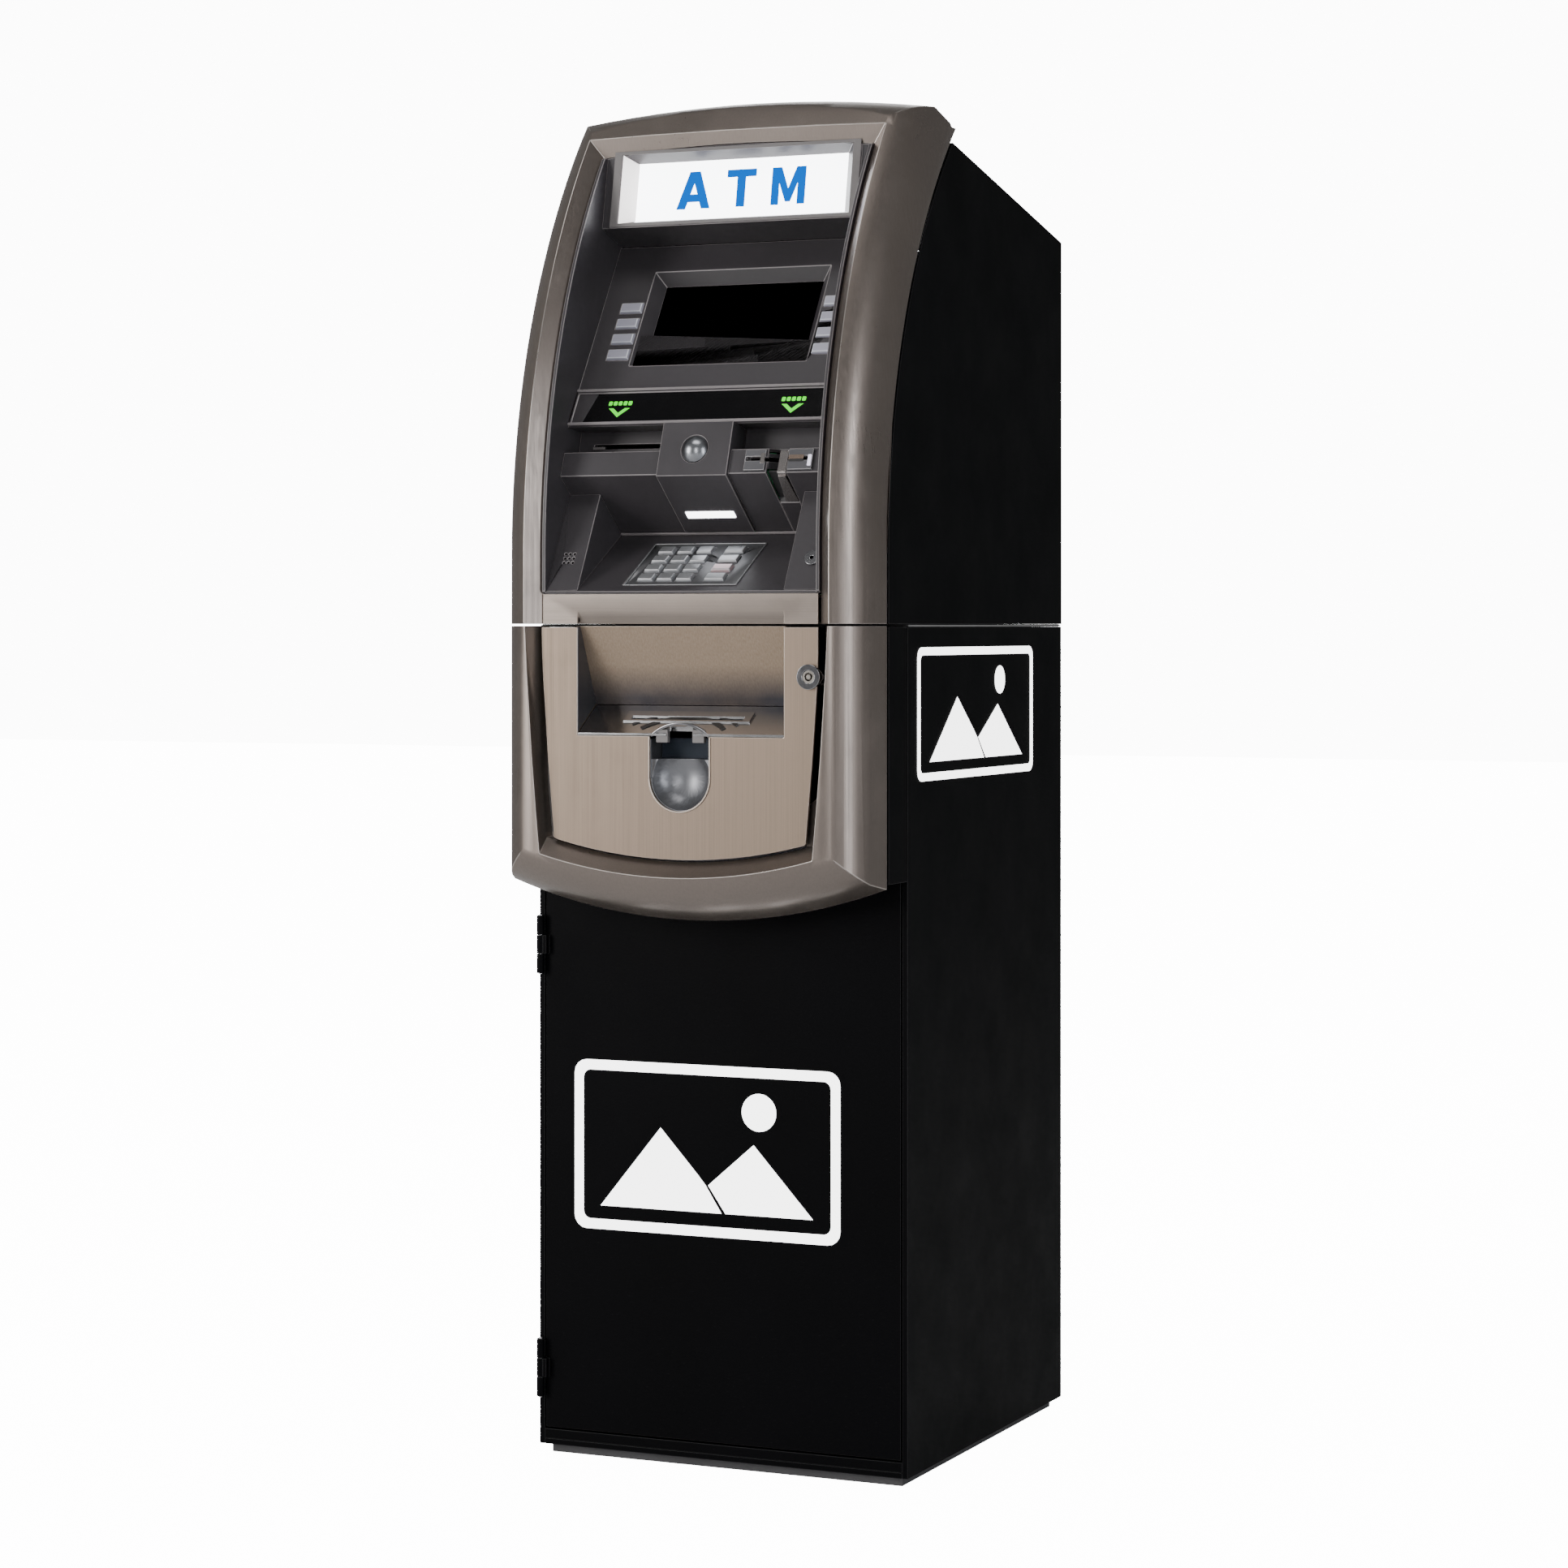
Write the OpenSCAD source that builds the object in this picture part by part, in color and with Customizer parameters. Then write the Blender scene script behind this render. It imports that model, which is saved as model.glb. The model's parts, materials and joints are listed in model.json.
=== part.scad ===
// Free-standing retail cash machine: steel safe cabinet, hood, two hinged
// fascias, control panel with keypad and screen, and the cash handling inside.
// Units are millimetres. X is across the machine, -Y is its front, Z is up.

/* [Cabinet] */
// Width of the safe cabinet
cab_w = 415; // [410:1:420]
// Depth of the safe cabinet, front plane to back
cab_d = 446; // [440:2:470]
// Height of the recessed plinth
plinth_h = 10; // [8:1:14]
// Thickness of the safe's steel plate
safe_t = 6; // [5:0.5:6]
// Height of the seam between lower and upper half
seam_z = 862; // [860:1:864]
// Radius of the floor anchor holes
anchor_r = 7; // [5:0.5:9]
// Anchor hole spacing across
anchor_x = 260; // [220:10:300]
// Anchor hole spacing front to back
anchor_y = 280; // [220:10:320]

/* [Hood] */
// Sheet thickness of the hood
hood_t = 2; // [1.5:0.5:2.5]
// Height of the hood's top at its front edge
hood_front_z = 1357; // [1350:1:1360]
// Height of the hood's top at its back edge
hood_back_z = 1284; // [1270:1:1290]

/* [Fascia] */
// Wall thickness of the fascia mouldings
fascia_t = 3.5; // [3:0.5:4]
// Radius of the bow along the outer crease, seen from the side
bow_r = 700; // [690:5:710]
// Radius of the arched bottom rim, seen from the front
rim_r = 600; // [598:1:602]

/* [Controls] */
// Width of the visible screen
screen_w = 178; // [170:1:180]
// Height of the visible screen, along its slope
screen_h = 98; // [90:1:100]
// Width of a side key
fdk_w = 25; // [22:1:26]
// Height of a side key
fdk_h = 12.5; // [11:0.5:13]
// Travel of a side key
fdk_travel = 1.5; // [1:0.1:2]
// Width of a number key
key_w = 17.5; // [16:0.5:18]
// Width of a command key
cmd_w = 22; // [20:0.5:24]
// Length of a key along the slope
key_h = 13; // [11:0.5:14]
// Travel of a keypad key
key_travel = 1.5; // [1:0.1:1.8]

/* [Doors] */
// Thickness of the safe door
door_t = 8; // [6:1:8]
// Throw of the lock bolts
bolt_throw = 14; // [10:1:14]

/* [Hidden] */

$fn = 48;
crest_y = -109;                       // foremost line of the fascia
ys = (cab_d + crest_y) / 2;           // shifts the box centre to Y = 0
hw = cab_w / 2;
gap_y = -54.5;                        // rear edge of the silver fascia
frame_y = -50;                        // front edge of hood and shroud
axis_x = -204.3;                      // fascia hinge axis
axis_y = -51;
vault_ax = -203.5;                    // safe door hinge axis
vault_ay = -5;
bow_z = 930;                          // where the bow starts
bow_y = -76 + bow_r;                  // axis of the bow
crest_r = bow_y - crest_y;            // bow radius along the crest
rim_z = 1166.5;                       // axis height of the arched bottom rim
top_z = -16;                          // axis height of the arched top rim

// profile of the control panel, as (Y, Z) from top to bottom
lcd_bot = [-47, 1065];
lcd_top = [74, 1259];
lcd_tau = atan((lcd_top[0] - lcd_bot[0]) / (lcd_top[1] - lcd_bot[1]));
shelf_front = [-96, 896];
shelf_back = [6, 955];
shelf_tau = atan((shelf_back[0] - shelf_front[0]) / (shelf_back[1] - shelf_front[1]));
block_top = [-56, 1038];
block_bot = [-65, 1013.5];
under_tau = atan((block_bot[1] - shelf_back[1]) / (shelf_back[0] - block_bot[0]));
cheek_tau = atan(52.5 / 99.8);
panel_pts = [[44, 1358], [29, 1275], [74, 1259], lcd_bot, [-18, 1060], [-24, 1038],
  block_top, block_bot, shelf_back, shelf_front];

// open polyline moved sideways by d, with mitred corners
function dir(a, b) = (b - a) / norm(b - a);
function side(v) = [v[1], -v[0]];
function shifted(p, d) = [for (i = [0:len(p) - 1])
  let(u = i > 0 ? dir(p[i - 1], p[i]) : dir(p[0], p[1]), w = i < len(p) - 1 ? dir(p[i], p[i + 1]) : u,
      n = side(u) + side(w)) p[i] + n * (d / (n * side(u)))];
function flip(p) = [for (i = [len(p) - 1:-1:0]) p[i]];
function strip(p, d) = concat(p, flip(shifted(p, d)));
// arc points about (cx, cy), from angle a to b
function arc(cx, cy, r, a, b, n) = [for (i = [0:n]) let(t = a + (b - a) * i / n) [cx + r * cos(t), cy + r * sin(t)]];

module placed() { translate([0, -ys, 0]) children(); }
// a (Y, Z) outline extruded along X
module xprism(p, x0, x1) { translate([x0, 0, 0]) rotate([90, 0, 90]) linear_extrude(x1 - x0) polygon(p); }
// a (X, Z) outline extruded along Y
module yprism(p, y0, y1) { translate([0, y1, 0]) rotate([90, 0, 0]) linear_extrude(y1 - y0) polygon(p); }
module box(x0, x1, y0, y1, z0, z1) { translate([x0, y0, z0]) cube([x1 - x0, y1 - y0, z1 - z0]); }
// local frame on a surface that leans back by tau: y goes into the panel, z up the slope
module on(p, tau) { translate([0, p[0], p[1]]) rotate([-tau, 0, 0]) children(); }
module xcyl(r, x0, x1, y, z) { translate([x0, y, z]) rotate([0, 90, 0]) cylinder(r = r, h = x1 - x0); }
module ycyl(r, y0, y1, x, z) { translate([x, y1, z]) rotate([90, 0, 0]) cylinder(r = r, h = y1 - y0); }
module zcyl(r, z0, z1, x, y) { translate([x, y, z0]) cylinder(r = r, h = z1 - z0); }
// slab with four sloping sides: w by h at y = 0, growing by g per side at y = d
module frustum(w, h, d, g, gz) {
  intersection() {
    linear_extrude(h * 3, center = true) polygon([[-w / 2, 0], [w / 2, 0], [w / 2 + g, d], [-w / 2 - g, d]]);
    rotate([90, 0, 90]) linear_extrude(w * 3, center = true) polygon([[0, -h / 2], [0, h / 2], [d, h / 2 + gz], [d, -h / 2 - gz]]);
  }
}

// ---------------------------------------------------------------- fascia shells
// points between a and b, bulging by h to the left of the way from a to b
function swell(a, b, h) = let(n = 6, u = dir(a, b)) [for (i = [0:n]) a + (b - a) * i / n + [-u[1], u[0]] * (4 * h * i / n * (1 - i / n))];
swell_h = 4.5;
// outer plan outline of a fascia, d inside the surface
function half_plan(d, back) = concat(swell([168, crest_y + d], [199 - d * 0.85, -76 + d * 0.5], -swell_h), [[hw - d, gap_y], [hw - d, back]]);
function plan(d, back) = concat(flip([for (p = half_plan(d, back)) [-p[0], p[1]]]), half_plan(d, back));
// same outline as (X, radius about the bow axis)
function plan_r(d, back) = [for (p = plan(d, back)) [p[0], bow_y - p[1]]];
module bow_solid(d, back) {
  translate([0, 0, seam_z + 1]) linear_extrude(bow_z - seam_z - 1) polygon(plan(d, back));
  translate([0, bow_y, bow_z]) rotate([90, 0, -90])
    rotate_extrude(angle = 46, $fn = 180) polygon([for (p = plan_r(d, back)) [p[1], p[0]]]);
}
// region under the arched top rim
module top_limit(d) {
  translate([0, 0, top_z]) rotate([90, 0, 0]) rotate_extrude($fn = 180)
    polygon(concat([[0, 200], [1345 - d, 109]], swell([1400 - d, -38.6], [1421 - d, -95], 5), [[1404 - d, -119], [1404 - d, -200], [0, -200]]));
}
// window of the upper fascia, flared towards the front, grown by g
module upper_window(g) {
  intersection() {
    union() {
      translate([0, 0, seam_z - 5]) linear_extrude(bow_z - seam_z + 5)
        polygon([[-153.5 - g, 60], [-153.5 - g, -93], [-168 - g, crest_y], [-168 - g, -130], [168 + g, -130], [168 + g, crest_y], [153.5 + g, -93], [153.5 + g, 60]]);
      translate([0, bow_y, bow_z]) rotate([90, 0, -90]) rotate_extrude(angle = 46, $fn = 180)
        polygon([[bow_y - 60, -153.5 - g], [crest_r - 16, -153.5 - g], [crest_r, -168 - g], [crest_r + 21, -168 - g],
          [crest_r + 21, 168 + g], [crest_r, 168 + g], [crest_r - 16, 153.5 + g], [bow_y - 60, 153.5 + g]]);
    }
    translate([0, 0, top_z]) rotate([90, 0, 0]) rotate_extrude($fn = 180)
      polygon([[0, 200], [1398 + g, 140], [1398 + g, -37], [1374 + g, -43], [1374 + g, -200], [0, -200]]);
  }
}
// region within r of the hood's bowed front edge
module behind(r, z0) intersection() {
  union() {
    translate([-300, 568, bow_z]) rotate([0, 90, 0]) cylinder(r = r, h = 600, $fn = 180);
    box(-300, 300, 568 - r, 600, 700, bow_z);
  }
  box(-300, 300, -200, 500, z0, 1500);
}
module hinge_leaf(z0) {
  // leaf of a fascia, with one knuckle between the two of its neighbour
  difference() {
    union() {
      zcyl(3.2, z0 + 16.4, z0 + 31.6, axis_x, axis_y);
      box(axis_x + 1.7, axis_x + 3.2, -60, axis_y, z0 + 16.4, z0 + 31.6);
      translate([0, 0, z0]) linear_extrude(48) polygon([[-204.2, -57.6], [-197, -75.2], [-194.2, -74.6], [-201.1, -57.6]]);
    }
    zcyl(1.65, z0 + 16, z0 + 32, axis_x, axis_y);
  }
}
module upper_bezel() color([0.52, 0.48, 0.45]) placed() {
  difference() {
    intersection() { bow_solid(0, 160); top_limit(0); }
    difference() {
      intersection() { bow_solid(fascia_t, 180); top_limit(fascia_t); }
      intersection() {
        upper_window(fascia_t);
        difference() { box(-300, 300, -200, 200, 800, 1500); behind(636, 800); }
      }
      // closing wall above the hood's front edge
      difference() { behind(626, 1336); behind(622.5, 1330); box(-150, 150, 0, 200, 1300, 1352); }
    }
    upper_window(0);
    behind(622.5, 800);
    for (z = [872, 942]) box(-210, -202.6, -54.6, -44, z - 0.5, z + 48.5);
  }
  for (z = [872, 942]) hinge_leaf(z);
}

// region above the arched bottom rim
module rim_limit(d) {
  translate([0, 0, rim_z]) rotate([90, 0, 0]) rotate_extrude($fn = 180)
    polygon(concat([[0, 200], [556 - d, 140]], swell([556 - d, 109], [594 - d, 76], swell_h), [[rim_r + 2 - d, 54.5], [rim_r + 2 - d, -60], [0, -60]]));
}
module lower_window(g) {
  intersection() {
    translate([0, 0, 560]) linear_extrude(310)
      polygon([[-157 - g, 60], [-157 - g, -89], [-168 - g, crest_y], [-168 - g, -130], [168 + g, -130], [168 + g, crest_y], [157 + g, -89], [157 + g, 60]]);
    translate([0, 0, rim_z]) rotate([90, 0, 0]) rotate_extrude($fn = 180)
      polygon([[0, 200], [556 + g, 200], [556 + g, 109], [541 + g, 89], [541 + g, -100], [0, -100]]);
    // sides of the window draw in towards the bottom
    yprism(concat([for (i = [0:10]) let(z = 590 + 28 * i) [171 + g - (1050 - z) * (1050 - z) / 8400, z]],
      [for (i = [10:-1:0]) let(z = 590 + 28 * i) [-171 - g + (1050 - z) * (1050 - z) / 8400, z]]), -140, 70);
  }
}
module lower_bezel() { color([0.52, 0.48, 0.45]) placed() lower_hinge_leaves(); lower_shell(); }
module lower_shell() color([0.52, 0.48, 0.45]) placed() difference() {
  intersection() {
    translate([0, 0, 540]) linear_extrude(seam_z - 541) polygon(plan(0, gap_y));
    rim_limit(0);
  }
  difference() {
    intersection() {
      translate([0, 0, 540]) linear_extrude(seam_z - 530) polygon(plan(fascia_t, 0));
      rim_limit(fascia_t);
    }
    intersection() { lower_window(fascia_t); box(-300, 300, -200, -72, 500, 900); }
    // floor of the channel around the dispenser panel
    difference() {
      intersection() { lower_window(1); box(-300, 300, -77, -74.5, 560, 860); }
      yprism(concat([[-132, 870], [-132, 680]], [for (i = [0:8]) let(a = -104 + 28 * i / 8) [518 * cos(a), rim_z + 518 * sin(a)]], [[128, 680], [153, 700], [153, 870]]), -80, -70);
    }
  }
  difference() {
    lower_window(0);
    difference() {
      box(-300, 300, -77, -74.5, 560, 860);
      yprism(concat([[-132, 870], [-132, 680]], [for (i = [0:8]) let(a = -104 + 28 * i / 8) [518 * cos(a), rim_z + 518 * sin(a)]], [[128, 680], [153, 700], [153, 870]]), -80, -70);
    }
  }
}
module lower_hinge_leaves() { for (z = [640, 780]) hinge_leaf(z); }

// ---------------------------------------------------------------- cabinet
module anchors(z0, z1) { for (x = [-1, 1], y = [-1, 1]) zcyl(anchor_r, z0, z1, x * anchor_x / 2, cab_d / 2 + y * anchor_y / 2); }
module base_plinth() color([0.16, 0.16, 0.17]) placed() difference() {
  box(-hw + 10, hw - 10, 10, cab_d - 10, 0, plinth_h);
  anchors(-1, plinth_h + 1);
}
module vault_cabinet() color([0.02, 0.02, 0.025]) placed() {
  x = hw - safe_t - 0.55;
  z1 = seam_z - 2;
  // right side plate, then the left one with the hinge knuckles of the safe door
  box(hw - safe_t - 0.45, hw - 0.45, 0, cab_d, plinth_h, z1);
  difference() {
    union() {
      box(-hw + 0.45, -hw + safe_t + 0.45, 0, cab_d, plinth_h, z1);
      for (z = [60, 500], k = [0, 40]) {
        zcyl(4, z + k, z + k + 20, vault_ax, vault_ay);
        box(-hw, -hw + 3.6, vault_ay, 0, z + k, z + k + 20);
      }
    }
    for (z = [60, 500]) zcyl(2.05, z - 1, z + 61, vault_ax, vault_ay);
  }
  // floor, back and top plates, 0.1 mm clear of each other for the weld
  difference() { box(-x, x, 0, cab_d - safe_t - 0.1, plinth_h, plinth_h + safe_t); anchors(plinth_h - 1, plinth_h + safe_t + 1); }
  box(-x, x, cab_d - safe_t, cab_d, plinth_h, z1);
  box(-x, x, 0, cab_d - safe_t - 0.1, z1 - safe_t, z1);
  // seat for the hood, closing the seam
  box(-x + 6, x - 6, 14, cab_d - 12, z1 + 0.1, seam_z + 0.8);
  // sill under the door and stops behind its edges
  box(-x, x, 0, 6, plinth_h + safe_t + 0.1, 26);
  for (s = [-1, 1]) box(min(s * 187, s * x), max(s * 187, s * x), 10.5, 16.5, plinth_h + safe_t + 0.1, z1 - 0.1 - safe_t);
}
function hood_side(y0) = concat([[y0, seam_z + 1]], [[y0, bow_z]],
  [for (i = [1:16]) let(z = bow_z + (hood_front_z - bow_z) * i / 16) [568 - sqrt(618 * 618 - (z - bow_z) * (z - bow_z)), z]],
  [[cab_d, hood_back_z], [cab_d, seam_z + 1]]);
hood_fy = 568 - sqrt(618 * 618 - (hood_front_z - bow_z) * (hood_front_z - bow_z));
module hood_shell() color([0.02, 0.02, 0.025]) placed() {
  for (s = [-1, 1]) difference() {
    xprism(hood_side(frame_y), s > 0 ? hw - hood_t : -hw, s > 0 ? hw : -hw + hood_t);
    // clearance for the hinged edge
    box(-hw - 1, -200, -60, -46, seam_z, 1010);
  }
  x = hw - hood_t;
  a = atan((hood_front_z - hood_back_z) / (cab_d - hood_fy));
  // top plate, back plate, front lip, shelf
  xprism([[hood_fy, hood_front_z], [cab_d, hood_back_z], [cab_d, hood_back_z - hood_t], [hood_fy + 0.3, hood_front_z - hood_t]], -x, x);
  difference() {
    xprism([[cab_d - hood_t, seam_z + 1], [cab_d - hood_t, hood_back_z - hood_t - 0.5], [cab_d, hood_back_z - hood_t - 0.5], [cab_d, seam_z + 1]], -x, x);
    box(-150, -100, cab_d - 10, cab_d + 10, 885, 917);
    for (i = [0:9]) box(20, 150, cab_d - 10, cab_d + 10, 1100 + i * 12, 1104 + i * 12);
  }
  box(-x, x, 12, cab_d - hood_t, seam_z + 1, seam_z + 1 + hood_t);
  // hinge leaf and knuckles for the upper fascia
  for (z = [872, 942]) {
    box(-205.5, -204.2, axis_y + 5, axis_y + 22, z, z + 48);
    for (k = [0, 32]) difference() {
      union() {
        zcyl(3.2, z + k, z + k + 16, axis_x, axis_y);
        box(-205.5, -204.2, axis_y, axis_y + 6, z + k, z + k + 16);
      }
      zcyl(1.65, z + k - 1, z + k + 17, axis_x, axis_y);
    }
  }
}
module power_inlet() color([0.08, 0.08, 0.08]) placed() difference() {
  union() {
    box(-150.0, -100.0, cab_d - 1.9, cab_d, 885.1, 916.9);
    box(-148, -102, cab_d - 40, cab_d - 1.9, 887, 915);
  }
  box(-146, -122, cab_d - 20, cab_d + 1, 893, 909);
  box(-118, -105, cab_d - 6, cab_d + 1, 890, 912);
}
module power_supply() color([0.55, 0.56, 0.58]) placed() difference() {
  box(60, 190, 260, 400, seam_z + 3.2, 965);
  for (i = [0:5]) box(59, 64, 275 + i * 20, 285 + i * 20, 885, 945);
}
module controller() color([0.15, 0.35, 0.2]) placed() {
  box(-180, 30, 280, 284, 960, 1180);
  box(-150, -90, 268, 280, 1060, 1120);
  box(-60, 0, 272, 280, 1000, 1030);
  for (i = [0:3]) box(-170 + i * 22, -155 + i * 22, 266, 280, 970, 985);
  for (x = [-176, 20]) box(x, x + 6, 284, 300, seam_z + 3.2, 1180);
}

// ---------------------------------------------------------------- cash handling inside the safe
module dispenser_frame() color([0.62, 0.63, 0.65]) placed() {
  for (s = [-1, 1]) difference() {
    box(s > 0 ? 112 : -115, s > 0 ? 115 : -112, 60, 400, 260, 800);
    xcyl(5.06, -120, 120, 110, 470);
    box(-120, 120, 150, 330, 560, 720);
  }
  box(-112, 112, 60, 400, 260, 264);
  box(-112, 112, 380, 400, 264, 340);
  box(-112, 112, 60, 84, 796, 800);
  box(-112, 112, 300, 304, 470, 790);
  // feet to the cabinet floor
  for (x = [-100, 80], y = [70, 360]) box(x, x + 20, y, y + 20, plinth_h + safe_t, 260);
}
module cash_cassette() color([0.25, 0.27, 0.3]) placed() difference() {
  box(-106, 106, 50, 370, 266, 440);
  box(-45, 45, 40, 78, 380, 420);
  box(-90, 90, 60, 350, 400, 450);
}
module pick_roller() color([0.7, 0.7, 0.72]) placed() {
  xcyl(5, -126, 126, 110, 470);
  for (x = [-60, 36]) difference() { xcyl(16, x, x + 24, 110, 470); xcyl(5, x - 1, x + 25, 110, 470); }
  difference() { xcyl(20, 116, 124, 110, 470); xcyl(5, 115, 125, 110, 470); }
}
module dispenser_motor() color([0.3, 0.3, 0.32]) placed() {
  xcyl(24, 40, 109, 220, 500);
  box(109, 112, 192, 248, 472, 528);
}
module bill_chute() color([0.5, 0.52, 0.55]) placed() {
  xprism([[12, 764], [290, 764], [290, 767], [12, 767]], -88, 88);
  xprism([[12, 784], [290, 784], [290, 787], [12, 787]], -88, 88);
  for (s = [-1, 1]) box(s > 0 ? 88 : -90, s > 0 ? 90 : -88, 12, 290, 764, 787);
}
module hinge_pins() color([0.75, 0.75, 0.77]) placed() {
  for (z = [60, 500]) zcyl(2, z - 1, z + 61, vault_ax, vault_ay);
  for (z = [872, 942]) zcyl(1.6, z - 0.3, z + 48.3, axis_x, axis_y);
}

// ---------------------------------------------------------------- safe door and its shroud
shroud_z0 = 606;
module vault_door() color([0.02, 0.02, 0.025]) placed() {
  difference() {
    box(-199.5, 199.5, 0, door_t, 28, seam_z - 10);
    box(-84, 84, -1, door_t + 1, 766, 785);
    ycyl(6.05, -1, door_t + 1, -60, 660);
    ycyl(4.05, -1, door_t + 1, 60, 660);
  }
  // knuckles of the door, between those of the cabinet
  for (z = [60, 500]) difference() {
    union() {
      zcyl(4, z + 20.4, z + 39.6, vault_ax, vault_ay);
      box(-203, -196, -7, -4, z + 20.4, z + 39.6);
      box(-199.5, -196, -4, 0, z + 20.4, z + 39.6);
    }
    zcyl(2.05, z, z + 60, vault_ax, vault_ay);
  }
  // shroud that closes the space behind the lower fascia
  for (s = [-1, 1]) box(s > 0 ? hw - 2 : -hw, s > 0 ? hw : -hw + 2, s > 0 ? frame_y : -46, -3, shroud_z0, seam_z - 2);
  box(-hw + 2, hw - 2, -46, -3, shroud_z0, shroud_z0 + 2);
  box(-hw + 2, hw - 2, -46, -3, seam_z - 4, seam_z - 2);
  for (s = [-1, 1], z = [625, 820]) {
    box(s > 0 ? 180 : -205.5, s > 0 ? 205.5 : -180, -6, -3, z, z + 20);
    box(s > 0 ? 180 : -199, s > 0 ? 199 : -180, -3, 0, z, z + 20);
  }
  // housing of the combination lock
  difference() { box(38, 82, door_t, 19.6, 636, 684); ycyl(4.05, 0, 30, 60, 660); }
  // strike for the key lock's cam
  box(152, 205.4, -50, -46, 798, 824);
  // guide blocks of the boltwork
  for (z = [300, 620]) difference() {
    box(150, 162, door_t, 34, z, z + 24);
    xcyl(6.06, 140, 170, 24, z + 12);
  }
  // hinge leaf and knuckles for the lower fascia
  for (z = [640, 780]) {
    box(-205.5, -204.2, axis_y + 5, axis_y + 22, z, z + 48);
    for (k = [0, 32]) difference() {
      union() {
        zcyl(3.2, z + k, z + k + 16, axis_x, axis_y);
        box(-205.5, -204.2, axis_y, axis_y + 6, z + k, z + k + 16);
      }
      zcyl(1.65, z + k - 1, z + k + 17, axis_x, axis_y);
    }
  }
}
module lock_bolts() color([0.78, 0.78, 0.8]) placed() {
  for (z = [312, 632]) xcyl(6, 124, 181, 24, z);
  box(118, 128, 20, 28, 290, 651);
  // rack bar under the pinion
  box(-92, 118, 20, 28, 642, 651);
}
module vault_handle() color([0.75, 0.75, 0.77]) placed() {
  ycyl(6, -22, 28, -60, 660);
  difference() { ycyl(14, -26, -6, -60, 660); ycyl(6, -27, -5, -60, 660); }
  box(-66, -54, -24, -14, 670, 740);
  difference() { ycyl(11, 8.5, 12, -60, 660); ycyl(6, 8, 13, -60, 660); }
  difference() { ycyl(8.7, 20, 28, -60, 660); ycyl(6, 19, 29, -60, 660); }
}
module combination_dial() color([0.1, 0.1, 0.1]) placed() {
  ycyl(4, -20, 30, 60, 660);
  difference() {
    ycyl(32, -14, -4, 60, 660);
    ycyl(4, -21, -3, 60, 660);
    for (i = [0:19]) translate([60, 0, 660]) rotate([0, i * 18, 0]) box(-0.6, 0.6, -15, -13.2, 26, 33);
  }
  difference() { ycyl(16, -34, -14, 60, 660); ycyl(4, -21, -13, 60, 660); }
}
module fascia_hinge_pins() color([0.75, 0.75, 0.77]) placed() {
  for (z = [640, 780]) zcyl(1.6, z - 0.3, z + 48.3, axis_x, axis_y);
}

// ---------------------------------------------------------------- lower fascia
face_y = -95;
function panel_x(z) = 156 - (1050 - z) * (1050 - z) / 8400 + 4.2;
function panel_edge(n) = [for (i = [0:n]) let(z = 647 + (860 - 647) * i / n) [panel_x(z), z]];
module panel_2d(d = 0) {
  // outline: sides draw in, bottom is arched
  polygon(concat([for (q = panel_edge(8)) [min(q[0] - 3, 151) - d, q[1] + (q[1] > 855 ? 9 * d : 0)]],
    flip([for (q = panel_edge(8)) [-min(q[0], 155) + d, q[1] + (q[1] > 855 ? 9 * d : 0)]]),
    [for (i = [0:14]) let(a = -90 - 14.6 + 29.2 * i / 14) [(539 - d) * cos(a), rim_z + (539 - d) * sin(a)]]));
}
recess = [[-130, 896], [-95.0, 876], [-53, 781], [-53, 751], [-130, 751]];
module dispenser_panel() color([0.66, 0.58, 0.5]) placed() {
  difference() {
    union() {
      translate([0, face_y + 3, 0]) rotate([90, 0, 0]) linear_extrude(3) intersection() {
        panel_2d();
        translate([-300, 500]) square([600, seam_z - 501]);
      }
      // walls of the tray recess
      for (s = [-1, 1]) xprism([[-92.5, seam_z - 1], [-83, seam_z - 1], [-50, 784], [-50, 749], [-92.5, 749]], s > 0 ? 114 : -116.5, s > 0 ? 116.5 : -114);
      intersection() {
        xprism(strip([[-95, 876], [-53, 781]], -2.5), -114, 114);
        box(-120, 120, -100, -40, 740, seam_z - 1);
      }
      // turned edge, left and bottom
      translate([0, -82, 0]) rotate([90, 0, 0]) linear_extrude(10.5) intersection() {
        difference() { panel_2d(); panel_2d(2.5); }
        translate([-300, 500]) square([420, 355]);
      }
      // mounting ribs
      for (s = [-1, 1]) box(s > 0 ? 121 : -125, s > 0 ? 125 : -121, -92.5, -60, 690, 750);
    }
    intersection() { xprism(recess, -114, 114); box(-114, 114, -130, -40, 740, 870); }
    // notch for fingers under the tray
    box(-33, 33, -120, -90, 709, 752);
    ycyl(33, -120, -90, 0, 709);
    ycyl(9.3, -120, -80, 142, 811);
  }
}
module cash_tray() color([0.8, 0.81, 0.83]) placed() difference() {
  union() {
    xprism([[-94.6, 751.2], [-94.6, 753.6], [-54.6, 780.6], [-50.8, 780.6], [-50.8, 778], [-90.8, 751.2]], -113.7, 113.7);
    // lip around the note slot
    xprism([[-80, 763], [-80, 766], [-66, 775.5], [-66, 772.5]], -70, 70);
  }
  xprism([[-78, 740], [-78, 790], [-73, 790], [-73, 740]], -62, 62);
  box(-15, 15, -100, -84, 740, 770);
}
module finger_scoop() color([0.42, 0.44, 0.47]) placed() difference() {
  union() {
    box(-37, 37, -91.8, -62, 709, 748.5);
    ycyl(37, -91.8, -62, 0, 709);
  }
  box(-33, 33, -100, -66, 728, 749);
  translate([0, -96, 709]) scale(1) rotate([90, 0, 0]) translate([0, 0, -0.5]) rotate_extrude($fn = 64)
    polygon([[0, -26], [10, -25], [20, -21], [27, -14.5], [31.5, -6], [33, 2], [33, 8], [0, 8]]);
  box(-33, 33, -100, -90, 709, 730);
}
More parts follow.
